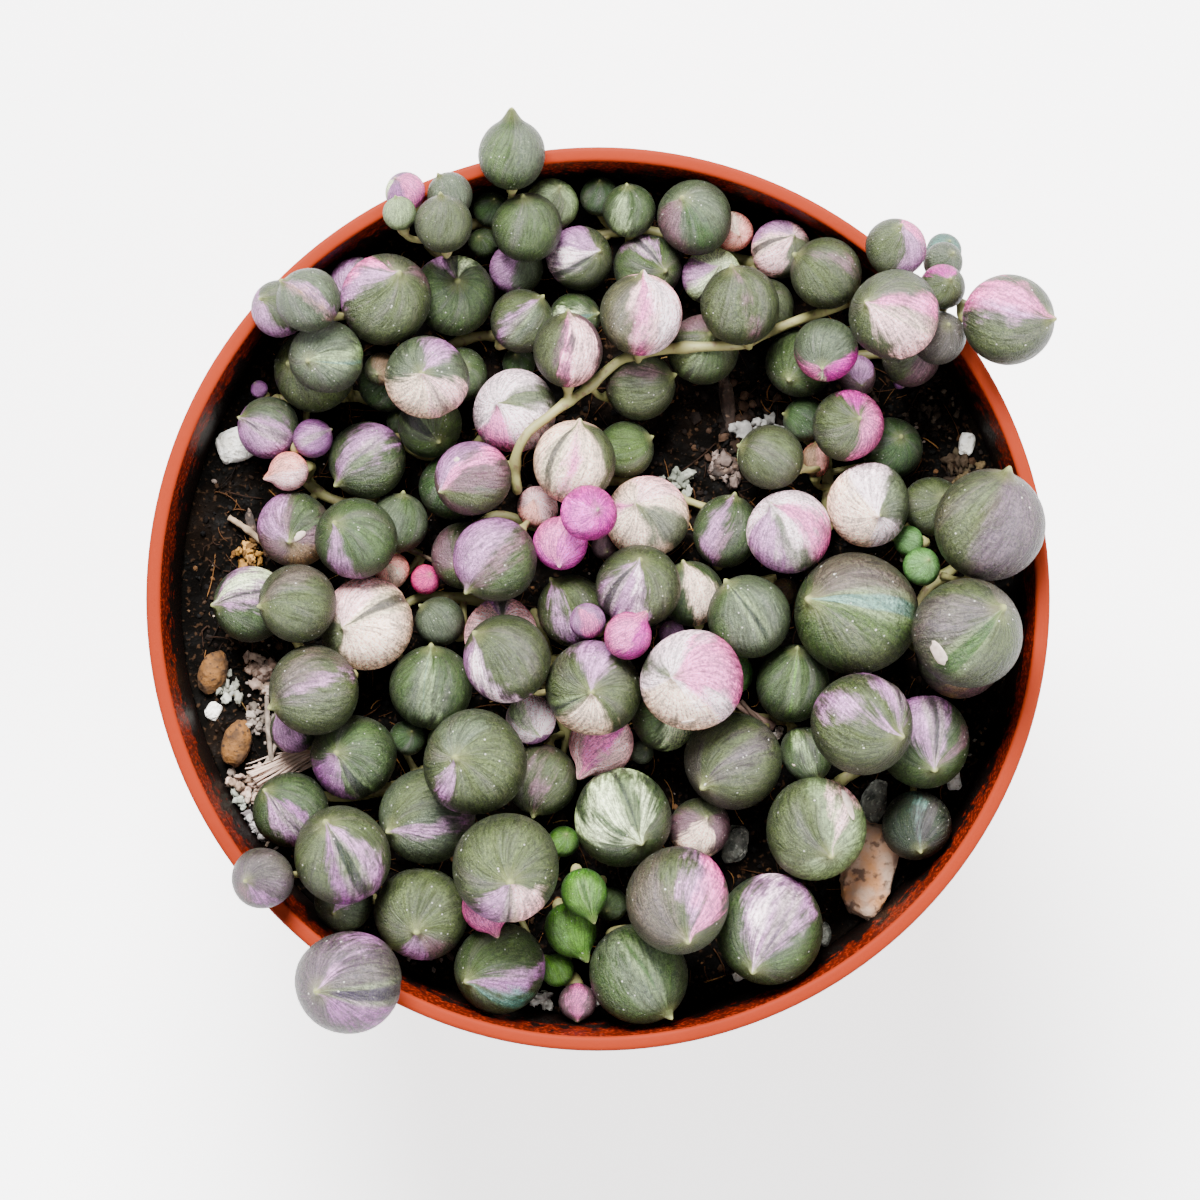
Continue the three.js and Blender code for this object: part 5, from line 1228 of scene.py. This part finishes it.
def peat(settings):
    """Damp peat: near black and dull, with brown patches and paler grit, and less matt on its lumps."""
    material, tree = new_material("damp_peat")
    place = add_node(tree, "TexCoord", {}).outputs["Object"]
    lumps = add_node(tree, "TexNoise", {"Vector": place, "Scale": 420.0, "Detail": 5.0})
    brown = add_node(tree, "TexNoise", {"Vector": place, "Scale": 190.0, "Detail": 4.0})
    grit = add_node(tree, "TexNoise", {"Vector": place, "Scale": 1900.0, "Detail": 2.0})
    mask = add_node(tree, "MapRange", {VALUE: brown, LOW: 0.52, HIGH: 0.72})
    colour = add_node(tree, "Mix", {
        **COLOURS, FACTOR: mask, FIRST: settings.black, SECOND: settings.brown})
    bits = add_node(tree, "MapRange", {VALUE: grit, LOW: 0.6, HIGH: 0.68, TO_HIGH: 0.6})
    colour = add_node(tree, "Mix", {**COLOURS, FACTOR: bits, FIRST: colour, SECOND: settings.grit})
    gloss = add_node(tree, "MapRange", {VALUE: lumps, LOW: 0.4, HIGH: 0.7, TO_LOW: 0.9, TO_HIGH: 0.5})
    relief = add_node(tree, "Math", {"operation": "MULTIPLY_ADD", 0: grit, 1: 0.3, 2: lumps})
    bump = add_node(tree, "Bump", {"Strength": 0.9, "Distance": settings.relief, "Height": relief})
    shader = add_node(tree, "BsdfPrincipled", {
        "Base Color": colour, "Roughness": gloss, "IOR": 1.4, "Specular IOR Level": 0.06, "Normal": bump})
    add_node(tree, "OutputMaterial", {"Surface": shader})
    return material


def litter():
    """Loose crumbs and fibres of peat, bark and coir: dull and rough, each of its own tone."""
    material, tree = new_material("peat_litter")
    place = add_node(tree, "TexCoord", {}).outputs["Object"]
    tone = add_node(tree, "Attribute", {"attribute_name": "crumb_tone"}).outputs["Color"]
    mottle = add_node(tree, "TexNoise", {"Vector": place, "Scale": 1300.0, "Detail": 3.0})
    shade = add_node(tree, "MapRange", {VALUE: mottle, LOW: 0.3, HIGH: 0.7, TO_LOW: 0.55, TO_HIGH: 1.3})
    colour = add_node(tree, "VectorMath", {"operation": "SCALE", 0: tone, "Scale": shade})
    bump = add_node(tree, "Bump", {"Strength": 0.8, "Distance": 0.2 * MM, "Height": mottle})
    shader = add_node(tree, "BsdfPrincipled", {
        "Base Color": colour, "Roughness": 0.75, "IOR": 1.4, "Specular IOR Level": 0.15, "Normal": bump})
    add_node(tree, "OutputMaterial", {"Surface": shader})
    return material


def build_soil(settings):
    """The soil: a closed body whose top is the fine ground, in rings round the axis."""
    edge, bottom = inner_wall(SOIL_TOP) - WALL_GAP, FOOT_HEIGHT + FLOOR + SOIL_CLEAR
    share = np.linspace(0, 1, SOIL_RINGS + 1)[1:]
    turn = around(SOIL_SIDES)
    x, y = (edge * share[:, None] * f(turn) for f in (np.cos, np.sin))
    top = np.stack([x, y, ground(x.ravel(), y.ravel()).reshape(x.shape)], -1)
    depth = np.linspace(SOIL_TOP - 3, bottom, 4)[:, None]
    out = inner_wall(depth) - WALL_GAP
    wall = np.stack([out * np.cos(turn), out * np.sin(turn),
                     np.broadcast_to(depth, (len(depth), SOIL_SIDES))], -1)
    rings = np.concatenate([top, wall])
    middle = [[0, 0, ground(np.zeros(1), np.zeros(1))[0]]]
    points = np.concatenate([middle, rings.reshape(-1, 3), [[0, 0, bottom]]])
    body = {"points": points, **ring_faces(len(rings), SOIL_SIDES)}
    piece = add_mesh("peat_soil", [body], [peat(settings)])
    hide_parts("soil")
    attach(piece, "root")


ICO = (1 + 5 ** 0.5) / 2
ICO_POINTS = unit(np.array([
    (-1, ICO, 0), (1, ICO, 0), (-1, -ICO, 0), (1, -ICO, 0), (0, -1, ICO), (0, 1, ICO),
    (0, -1, -ICO), (0, 1, -ICO), (ICO, 0, -1), (ICO, 0, 1), (-ICO, 0, -1), (-ICO, 0, 1)]))
ICO_FACES = np.array([(0, 11, 5), (0, 5, 1), (0, 1, 7), (0, 7, 10), (0, 10, 11), (1, 5, 9), (5, 11, 4),
                      (11, 10, 2), (10, 7, 6), (7, 1, 8), (3, 9, 4), (3, 4, 2), (3, 2, 6), (3, 6, 8),
                      (3, 8, 9), (4, 9, 5), (2, 4, 11), (6, 2, 10), (8, 6, 7), (9, 8, 1)])

# each tone of crumb, and its share of them
CRUMB_TONES = {"#060504": 0.22, "#0a0706": 0.2, "#150e0a": 0.17, "#040303": 0.15, "#241810": 0.12,
               "#3a281a": 0.08, "#5a3e26": 0.04, "#80736a": 0.02}
CRUMB_SIZE = (-1.55, 0.5)  # mean and spread of the natural logarithm of a crumb's radius in mm
CRUMB_CORNERS = (0.62, 1.15)  # how far out a corner may lie, as a share of that radius
CRUMB_STRETCH = (0.55, 1.2)  # and how far it is stretched each way
CRUMB_LIFT = 0.22  # its height above the ground, as a share of its size
CRUMB_FLAT = 0.8
# x, y, spread, how many, size, tones: where the photograph shows more than plain peat
CRUMB_HEAPS = [
    (-33.0, -13.0, 2.6, 34, 0.5, ("#8a756c", "#75604f", "#a2948c", "#4e4036")),
    (-34.5, -9.0, 1.8, 20, 0.45, ("#7c6a5e", "#94867e", "#453830")),
    (-33.8, -20.5, 2.4, 30, 0.45, ("#b4aca2", "#7c6c5e", "#4e3e34")),
    (14.0, 17.5, 3.6, 80, 0.75, ("#3a2a20", "#463428", "#1e1612", "#281c15", "#140e0a")),
    (16.5, 13.5, 2.4, 26, 0.7, ("#463830", "#2f2520", "#1c1612", "#665a50")),
    (35.0, 19.5, 3.4, 60, 0.45, ("#2a1c14", "#1a1410", "#0c0a08", "#564a3e")),
    (37.5, 13.5, 2.6, 26, 0.6, ("#4a4030", "#2a2018", "#1a1410")),
    (-36.0, 4.6, 1.2, 14, 0.5, ("#8c6234", "#6a4622", "#3e2a16")),
    (36.5, -15.0, 3.0, 30, 0.42, ("#5c4632", "#8a8276", "#2e221a")),
    (30.0, -31.0, 3.2, 34, 0.42, ("#463828", "#7c7468", "#1e1610")),
    (-16.0, -37.0, 3.6, 34, 0.5, ("#544842", "#746860", "#2a201c")),
    (-36.0, -2.0, 4.0, 50, 0.34, ("#3a2a1e", "#5a4430", "#8a7a6a")),
]

# x, y, spread, how many, size, height above the soil, flatness, tones: shrivelled leaves, clods and flakes
CLUMPS = [
    (-34.6, -6.6, 1.0, 9, 0.62, 0.7, 0.8, ("#a08676", "#8a7262", "#b49c8c")),
    (-32.6, -8.4, 1.3, 14, 0.68, 0.8, 0.8, ("#b49a8c", "#96806f", "#c4aea0")),
    (-37.0, -9.3, 0.9, 6, 0.6, 0.4, 0.6, ("#a8aaa0", "#8c8c80")),
    (-33.9, -12.4, 1.1, 9, 0.55, 0.5, 0.7, ("#7c7068", "#5f554c", "#9a8e84")),
    (-31.8, -14.4, 0.7, 4, 0.5, 0.8, 0.8, ("#b08e58", "#9a7a4c")),
    (-35.4, -18.6, 1.2, 9, 0.66, 0.5, 0.8, ("#a68c7e", "#87705f", "#b8a294")),
    (-33.0, -19.8, 1.1, 9, 0.62, 0.6, 0.8, ("#ac9484", "#8a7668", "#6b5c50")),
    (-37.4, -20.6, 0.9, 5, 0.6, 0.4, 0.6, ("#a4a89c", "#86887c")),
    (-34.6, -23.2, 1.2, 8, 0.6, 0.4, 0.7, ("#8a8280", "#6a6262", "#a09a98")),
    (-35.3, 4.5, 0.9, 6, 0.66, 0.8, 0.8, ("#a87c40", "#8c642e", "#5c4020")),
    (8.0, 11.6, 0.9, 5, 0.85, 0.8, 0.7, ("#6e7266", "#8a8c80")),
    (16.6, 17.0, 1.3, 7, 0.95, 1.4, 0.5, ("#8a8884", "#a09e98", "#6c6a66")),
    (12.2, 13.4, 1.1, 5, 0.8, 0.6, 0.6, ("#76665f", "#5c4e48")),
    (26.6, 21.0, 1.0, 5, 0.8, 0.6, 0.7, ("#3a2e26", "#54443a")),
    (33.4, 17.8, 1.6, 6, 0.5, 0.3, 0.7, ("#2e241c", "#1a1410", "#342a22")),
    (36.6, 13.0, 1.3, 8, 0.8, 0.5, 0.7, ("#3c3024", "#54462f", "#241c14")),
    (-9.4, -40.6, 1.2, 3, 1.0, 0.9, 0.35, ("#f0ece4", "#cac6bc")),
    (-5.4, -41.0, 0.9, 2, 1.0, 0.9, 0.35, ("#f0ece4", "#cac6bc")),
    (18.4, -13.4, 0.4, 3, 0.42, 2.6, 0.8, ("#a8988c", "#c4b8ae")),
]
# two ends as x, y, height above the soil; radius; tone
TWIGS = [
    ((13.6, -10.4, 3.0), (17.8, -12.9, 2.6), 0.42, "#8a7064"),
    ((14.4, -10.2, 3.3), (16.4, -12.4, 2.9), 0.3, "#5c4a40"),
    ((-33.4, -9.8, 1.0), (-32.9, -16.4, 0.9), 0.26, "#84766a"),
    ((-31.9, -12.6, 0.9), (-34.2, -17.6, 0.7), 0.2, "#a08e80"),
    ((-37.2, 8.2, 0.7), (-34.0, 5.8, 0.9), 0.34, "#8a7660"),
    ((-19.0, 5.0, 1.2), (-16.0, 3.4, 1.3), 0.2, "#7a6a58"),
]


def scatter(count, out, rng):
    """Places spread evenly over a disk: its radius times the square root of a random share."""
    r, a = out * np.sqrt(rng.random(count)), rng.random(count) * 2 * np.pi
    return r * np.cos(a), r * np.sin(a)


def pick_tones(shares, count, rng):
    """Linear tones, each drawn by its share."""
    pick = rng.choice(len(shares), count, p=list(shares.values()))
    return np.array([to_linear(code) for code in shares])[pick]


def add_crumbs(name, material, rng, crumbs):
    """Peat crumbs: icosahedra with each corner moved in or out, flattened and turned, spread over the soil,
    with heaps of other tones where there are some."""
    x, y = scatter(crumbs, inner_wall(SOIL_TOP) - 0.9, rng)
    size = rng.lognormal(*CRUMB_SIZE, crumbs)
    tones = pick_tones(CRUMB_TONES, crumbs, rng)
    for hx, hy, spread, count, big, codes in CRUMB_HEAPS:
        x = np.concatenate([x, hx + spread * rng.normal(0, 0.6, count)])
        y = np.concatenate([y, hy + spread * rng.normal(0, 0.6, count)])
        size = np.concatenate([size, big * rng.uniform(0.45, 1.1, count)])
        pick = rng.integers(0, len(codes), count)
        tones = np.concatenate([tones, np.array([to_linear(code) for code in codes])[pick]])
    keep = np.hypot(x, y) + size < inner_wall(SOIL_TOP) - 0.1
    x, y, size, tones = x[keep], y[keep], size[keep], tones[keep]
    count = len(x)
    corners = len(ICO_POINTS)
    shape = ICO_POINTS[None] * rng.uniform(*CRUMB_CORNERS, (count, corners, 1))
    shape = shape * rng.uniform(*CRUMB_STRETCH, (count, 1, 3))
    spin = rng.random(count) * 2 * np.pi
    turn = np.stack([np.cos(spin), np.sin(spin)], -1)
    flat_x = shape[:, :, 0] * turn[:, None, 0] - shape[:, :, 1] * turn[:, None, 1]
    flat_y = shape[:, :, 0] * turn[:, None, 1] + shape[:, :, 1] * turn[:, None, 0]
    height = ground(x, y) + CRUMB_LIFT * size
    points = np.stack([x[:, None] + size[:, None] * flat_x, y[:, None] + size[:, None] * flat_y,
                       height[:, None] + CRUMB_FLAT * size[:, None] * shape[:, :, 2]], -1)
    faces = ICO_FACES[None] + corners * np.arange(count)[:, None, None]
    piece = add_mesh(name, [{"points": points.reshape(-1, 3), "tris": faces.reshape(-1, 3),
                             "fields": {"crumb_tone": np.repeat(tones, corners, axis=0)}}], [material])
    piece.data.polygons.foreach_set("use_smooth", np.zeros(len(piece.data.polygons), dtype=bool))
    return piece


def add_clumps(name, material, rng):
    """Clumps: flattened balls whose points move in or out by noise, each at a random place in its cluster
    but no nearer to the wall than its size."""
    polar, longitude, faces = ball_grid(np.linspace(0.3, np.pi - 0.3, 9), 16)
    ball = on_ball(polar, longitude)
    parts = []
    for x, y, spread, count, size, lift, flat, codes in CLUMPS:
        for _ in range(2 * count):
            dent = 2.4 * layered_noise(ball + 20 * rng.random(3), 0.6, 5, 3) - 0.2
            shape = ball * dent[:, None] * 0.75 * size * rng.uniform(0.5, 1.2, 3) * [1, 1, flat]
            centre = np.array([x, y, SOIL_TOP + lift]) + spread * rng.normal(0, 0.75, 3) * [1, 1, 0.25]
            centre[:2] *= min(1, (inner_wall(SOIL_TOP) - size) / np.hypot(centre[0], centre[1]))
            tone = to_linear(codes[rng.integers(len(codes))])
            parts.append(in_tone({"points": shape + centre, **faces}, tone))
    return add_mesh(name, parts, [material])


def add_twigs(name, material, rng):
    """Dead twigs and roots: tubes along slightly bent lines, knotted by noise."""
    at = np.linspace(0, 1, 24)
    parts = []
    for first, last, radius, code in TWIGS:
        first, last = np.array(first), np.array(last)
        bow = 0.5 * np.sin(np.pi * at)[:, None] * rng.normal(0, 0.5, 3)
        path = first + at[:, None] * (last - first) + bow
        path[:, 2] += SOIL_TOP
        knotted = radius * (0.6 + 0.9 * layered_noise(path, 0.9, 6, 2))
        parts.append(in_tone(tube(path, knotted, 9), to_linear(code)))
    return add_mesh(name, parts, [material])


FIBRE_POINTS = 8
FIBRE_TONES = {"#26170e": 0.3, "#4a2f1a": 0.26, "#6e4a28": 0.16, "#906638": 0.08, "#120b07": 0.16,
               "#b08c54": 0.04}


def add_fibres(name, material, rng, fibres):
    """Fibres: thin tubes of three sides along arcs that lie on the ground, each a random heading, bend and
    length, lifted a little in the middle."""
    out = inner_wall(SOIL_TOP) - 2
    start_x, start_y = scatter(fibres, out, rng)
    heading, bend = rng.random(fibres) * 2 * np.pi, rng.normal(0, 0.9, fibres)
    length, thick = rng.uniform(1.0, 5.5, fibres), rng.uniform(0.035, 0.09, fibres)
    t = np.linspace(-0.5, 0.5, FIBRE_POINTS)
    turn = heading[:, None] + bend[:, None] * t
    x = start_x[:, None] + np.cumsum(np.cos(turn), axis=1) * length[:, None] / FIBRE_POINTS
    y = start_y[:, None] + np.cumsum(np.sin(turn), axis=1) * length[:, None] / FIBRE_POINTS
    shrink = np.minimum(1, out / np.hypot(x, y))
    x, y = x * shrink, y * shrink
    z = ground(x.ravel(), y.ravel()).reshape(x.shape) + 0.15
    z = z + 0.5 * rng.random(fibres)[:, None] * np.cos(np.pi * t)
    path = np.stack([x, y, z], -1)
    rows = zip(path, thick, pick_tones(FIBRE_TONES, fibres, rng))
    return add_mesh(name, [in_tone(tube(line, width, 3), tone) for line, width, tone in rows], [material])


def build_litter(settings):
    """Crumbs, fibres, dried clumps and dead twigs on the soil."""
    material = litter()
    rng = np.random.default_rng(7)
    for piece in (add_crumbs("peat_crumbs", material, rng, settings.crumbs),
                  add_fibres("peat_fibres", material, rng, settings.fibres),
                  add_clumps("dried_clumps", material, rng), add_twigs("dead_twigs", material, rng)):
        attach(piece, "root")


ROCKS = {
    # name of the finish: real material, two tones, fleck tone, mottle per metre, roughness, relief in mm,
    # how far noise breaks up the block, and how round its edges are (1 is a ball)
    "perlite": ("expanded_perlite", "#fffdf6", "#f0ece0", "#b8b0a0", 800.0, 0.85, 0.35, 0.4, 0.62),
    "granite": ("weathered_granite", "#c88c5c", "#c4a48c", "#5c463a", 300.0, 0.8, 0.5, 0.62, 0.62),
    "slate": ("grey_pumice", "#84867c", "#4c4e48", "#c4c4b8", 900.0, 0.85, 0.4, 0.6, 0.9),
    "clay": ("fired_clay", "#6c4414", "#42280a", "#1e1006", 600.0, 0.85, 0.3, 0.4, 0.9),
    "bark": ("pine_bark", "#3e2c22", "#221812", "#6a5444", 500.0, 0.85, 0.35, 0.6, 0.9),
}


def rock_finish(kind):
    """A dull mineral or bark: two tones in clouds, flecks of a third, and a grainy, pitted relief."""
    name, first, second, third, scale, roughness, deep, _, _ = ROCKS[kind]
    layers = [(scale, 4.0, (0.42, 0.6, 1.0), to_linear(second)),
              (3.2 * scale, 3.0, (0.57, 0.66, 0.85), to_linear(third))]
    return mottled(name, roughness, 1.5, to_linear(first), layers, 0.9, deep * MM)


def build_loose_pieces():
    """Stones, perlite, pellets and bark: the solid's rounded block, with a surface broken up by noise.
    Each point of the unit ball moves in or out by layered noise, then the ball is squared, stretched,
    turned and set at its height."""
    finishes = {kind: rock_finish(kind) for kind in ROCKS}
    polar, longitude, faces = ball_grid(np.linspace(0.09, np.pi - 0.09, 34), 60)
    ball = on_ball(polar, longitude)
    for k, (name, row) in enumerate(LOOSE_PIECES.items()):
        x, y, length, width, height, rise, turn, kind = row
        broken, roundness = ROCKS[kind][-2:]
        swell = 1.02 + broken * (layered_noise(ball + 7.7 * k, 0.6, k, 4) - 0.5)
        squared = np.sign(ball) * np.abs(ball) ** roundness
        shape = squared * swell[:, None] * np.array([length, width, height]) / 2
        a = np.radians(turn)
        spun = shape @ np.array([[np.cos(a), np.sin(a), 0], [-np.sin(a), np.cos(a), 0], [0, 0, 1]])
        points = spun + [x, y, SOIL_TOP + rise - height / 2]
        piece = add_mesh(f"{name}_rough", [{"points": points, **faces}], [finishes[kind]])
        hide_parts(name)
        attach(piece, "root")


def dry_fibre(settings):
    """Dead, bleached root fibre: pale tan and dull, in two tones."""
    layers = [(900.0, 3.0, None, settings.straw_pale)]
    return mottled("dead_root_fibre", 0.8, 1.4, settings.straw_deep, layers, 0.0, 0.0)


def build_straw(settings):
    """The dry straw: a bundle of fibres along one line, which fans out at its loose end."""
    rng = np.random.default_rng(3)
    z = SOIL_TOP + SOIL_LUMP + SOIL_CLEAR + STRAW_RADIUS
    middle = [(x, y, z) for x, y in STRAW_POINTS]
    at = np.linspace(0, 1, 16)
    line = catmull_rom(middle, at)
    parts = []
    for _ in range(STRAW_FIBRES):
        turn, off = rng.random() * 2 * np.pi, STRAW_RADIUS * rng.uniform(0.2, 2.3)
        fan = (1 + 2.6 * (1 - at) ** 2 * rng.random())[:, None]
        drift = np.array([0.55, -0.83, 0]) * np.cos(turn) + np.array([0, 0, 0.7]) * np.sin(turn)
        wave = 0.2 * np.sin(at * rng.uniform(4, 12) + turn)[:, None] * np.array([0.5, 0.8, 0.4])
        path = line + off * drift * fan + wave
        parts.append(tube(path, rng.uniform(0.07, 0.15), 6))
    piece = add_mesh("dry_straw_bundle", parts, [dry_fibre(settings)])
    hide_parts("dry_straw")
    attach(piece, "root")


# ------------------------------------------------------------------ the stage

FIELD = 120.0  # mm across the picture, at the rim
PICTURE_CENTRE = (0.2, -0.1)  # mm


def build_stage(settings):
    """A pale floor, one large soft light overhead with a weaker one beside it, and a camera straight above
    with a long lens. Its distance is the field's width times the lens over the sensor's width."""
    material, tree = new_material("pale_floor")
    shader = add_node(tree, "BsdfPrincipled", {
        "Base Color": settings.floor_tone, "Roughness": 0.9, "IOR": 1.4, "Emission Color": (1, 1, 1, 1),
        "Emission Strength": settings.floor_glow})
    add_node(tree, "OutputMaterial", {"Surface": shader})
    reach = 3000.0
    points = np.array([(-reach, -reach, 0), (reach, -reach, 0), (reach, reach, 0), (-reach, reach, 0)])
    floor = add_mesh("floor", [{"points": points, "quads": np.array([(0, 1, 2, 3)])}], [material])
    for name, power, size, place in (("overhead", settings.light, 0.6, (-0.15, 0.75, 1.1)),
                                     ("beside", settings.light * 0.2, 0.8, (0.9, -0.5, 0.9))):
        lamp = bpy.data.lights.new(name, "AREA")
        lamp.shape, lamp.size, lamp.energy = "DISK", size, power
        light = bpy.data.objects.new(name, lamp)
        light.location = place
        light.rotation_euler = (-Vector(place)).to_track_quat("-Z", "Y").to_euler()
        bpy.context.scene.collection.objects.link(light)
    world = bpy.data.worlds.new("studio")
    world.use_nodes = True
    world.node_tree.nodes["Background"].inputs["Color"].default_value = (1, 1, 1, 1)
    world.node_tree.nodes["Background"].inputs["Strength"].default_value = settings.sky
    bpy.context.scene.world = world
    lens = bpy.data.cameras.new("camera")
    lens.lens, lens.sensor_width = settings.lens, 36.0
    camera = bpy.data.objects.new("camera", lens)
    away = FIELD * settings.lens / lens.sensor_width
    camera.location = (PICTURE_CENTRE[0] * MM, PICTURE_CENTRE[1] * MM, (POT_HEIGHT + away) * MM)
    bpy.context.scene.collection.objects.link(camera)
    bpy.context.scene.camera = camera


# ------------------------------------------------------------------ the add-on


def tone_property(name, description, hex_code):
    """A colour that a user would change."""
    return bpy.props.FloatVectorProperty(name=name, description=description, size=4, subtype="COLOR",
                                         min=0.0, max=1.0, default=to_linear(hex_code))


def relief_property(description, millimetres):
    """The height of a relief that a user would change."""
    return bpy.props.FloatProperty(name="Relief", description=description, default=millimetres * MM,
                                   min=0.0, unit="LENGTH", precision=5)


class PotSettings(bpy.types.PropertyGroup):
    plastic_deep: tone_property("Plastic, deep", "Deeper tone of the dry plastic", "#762006")
    plastic_pale: tone_property("Plastic, pale", "Paler tone of the dry plastic", "#82280a")
    wet_deep: tone_property("Wet, deep", "Tone of the damp inner wall", "#420c02")
    # painted highlights: the bright tone that the drops are given for the light they catch
    drop_highlight: tone_property("Wet, pale", "Tone of the drops on the inner wall", "#942608")
    # near-black specks on the inner wall, more of them towards the soil
    dark_specks: tone_property("Dirt", "Tone of the soil on the inner wall", "#0b0705")
    relief: relief_property("Height of the grain and the drops", 0.15)


class SoilSettings(bpy.types.PropertyGroup):
    crumbs: bpy.props.IntProperty(name="Crumbs", description="Crumbs spread over the soil", default=6800,
                                  min=1)
    fibres: bpy.props.IntProperty(name="Fibres", description="Fibres spread over the soil", default=1100,
                                  min=1)
    black: tone_property("Peat", "Tone of the damp peat", "#040302")
    brown: tone_property("Brown peat", "Tone of the browner patches", "#140d08")
    grit: tone_property("Grit", "Tone of the pale grit", "#3c2a1c")
    relief: relief_property("Height of the peat's grain", 0.6)


class LooseSettings(bpy.types.PropertyGroup):
    straw_deep: tone_property("Straw, deep", "Deeper tone of the dry straw", "#9c8070")
    straw_pale: tone_property("Straw, pale", "Paler tone of the dry straw", "#dcc2b2")


class StrandSettings(bpy.types.PropertyGroup):
    # partly wax bloom, partly a painted sheen on the side that faces the sky
    wax_and_sheen: tone_property("Wax", "Bloom on the side that faces the sky", "#868890")
    flush: tone_property("Flush", "Pink flush that lies over a leaf in clouds", "#6c4c5e")
    tip: tone_property("Tip", "The leaf's point and the skin round it", "#c8cc84")
    window_edge: tone_property("Edge of the clear line", "Pale border of the clear line", "#86986a")
    vein: tone_property("Veins", "Fine pale veins", "#ccd49a")
    # painted glints: small white specks that stand for sparkles of light
    painted_glint: tone_property("Specks", "Specks of dried water", "#f2efe6")
    relief: relief_property("Height of the skin's streaks and pits", 0.4)
    stem_green: tone_property("Stem, green", "Young part of a stem", "#6e7440")
    stem_tan: tone_property("Stem, tan", "Older part of a stem", "#94885c")
    cork: tone_property("Cork", "Corky flecks on a stem", "#6b5440")
    callus_deep: tone_property("Callus, deep", "Deeper tone of a dry scar", "#8a6a5c")
    callus_pale: tone_property("Callus, pale", "Paler tone of a dry scar", "#e8d8cc")


class StageSettings(bpy.types.PropertyGroup):
    light: bpy.props.FloatProperty(name="Light", description="Power of the overhead light", default=92.0,
                                   min=0.0, unit="POWER")
    sky: bpy.props.FloatProperty(name="Sky", description="Strength of the light from all round",
                                 default=0.7, min=0.0)
    lens: bpy.props.FloatProperty(name="Lens", description="Focal length of the camera, in mm",
                                  default=330.0, unit="CAMERA")
    floor_tone: bpy.props.FloatVectorProperty(name="Floor", description="Colour of the floor", size=4,
                                              subtype="COLOR", default=(0.9, 0.9, 0.9, 1.0))
    floor_glow: bpy.props.FloatProperty(name="Floor glow", description="How far the floor is lit from below",
                                        default=2.0, min=0.0)


class PEARLS_OT_pot(bpy.types.Operator):
    """Build the pot"""
    bl_idname = "pearls.pot"
    bl_label = "Pot"

    def execute(self, context):
        build_pot(context.scene.pearls_pot)
        return {"FINISHED"}


class PEARLS_OT_soil(bpy.types.Operator):
    """Build the soil with its crumbs and fibres"""
    bl_idname = "pearls.soil"
    bl_label = "Soil"

    def execute(self, context):
        build_soil(context.scene.pearls_soil)
        build_litter(context.scene.pearls_soil)
        return {"FINISHED"}


class PEARLS_OT_loose(bpy.types.Operator):
    """Build the stones, perlite, pellets, bark and straw"""
    bl_idname = "pearls.loose"
    bl_label = "Stones and bark"

    def execute(self, context):
        build_loose_pieces()
        build_straw(context.scene.pearls_loose)
        return {"FINISHED"}


class PEARLS_OT_strands(bpy.types.Operator):
    """Build the strands: stems, stalks and leaves"""
    bl_idname = "pearls.strands"
    bl_label = "Strands"

    def execute(self, context):
        build_strands(context.scene.pearls_strands)
        return {"FINISHED"}


class PEARLS_OT_stage(bpy.types.Operator):
    """Build the floor, the lights and the camera"""
    bl_idname = "pearls.stage"
    bl_label = "Stage"

    def execute(self, context):
        build_stage(context.scene.pearls_stage)
        return {"FINISHED"}


class PEARLS_PT_panel(bpy.types.Panel):
    bl_label = "String of pearls"
    bl_idname = "PEARLS_PT_panel"
    bl_space_type = "VIEW_3D"
    bl_region_type = "UI"
    bl_category = "Pearls"

    def draw(self, context):
        for operator, (group, settings) in zip(OPERATORS, SETTINGS.items()):
            self.layout.operator(operator.bl_idname)
            for name in settings.__annotations__:
                self.layout.prop(getattr(context.scene, group), name)


OPERATORS = (PEARLS_OT_stage, PEARLS_OT_pot, PEARLS_OT_soil, PEARLS_OT_loose, PEARLS_OT_strands)
# the scene's settings for each operator, in the same order
SETTINGS = {
    "pearls_stage": StageSettings,
    "pearls_pot": PotSettings,
    "pearls_soil": SoilSettings,
    "pearls_loose": LooseSettings,
    "pearls_strands": StrandSettings,
}
CLASSES = (*SETTINGS.values(), *OPERATORS, PEARLS_PT_panel)


def register():
    for kind in CLASSES:
        bpy.utils.register_class(kind)
    for name, settings in SETTINGS.items():
        setattr(bpy.types.Scene, name, bpy.props.PointerProperty(type=settings))


def unregister():
    for name in SETTINGS:
        delattr(bpy.types.Scene, name)
    for kind in reversed(CLASSES):
        bpy.utils.unregister_class(kind)


def main():
    register()
    bpy.ops.pearls.stage()
    bpy.ops.pearls.pot()
    bpy.ops.pearls.soil()
    bpy.ops.pearls.loose()
    bpy.ops.pearls.strands()


if __name__ == "__main__":
    main()
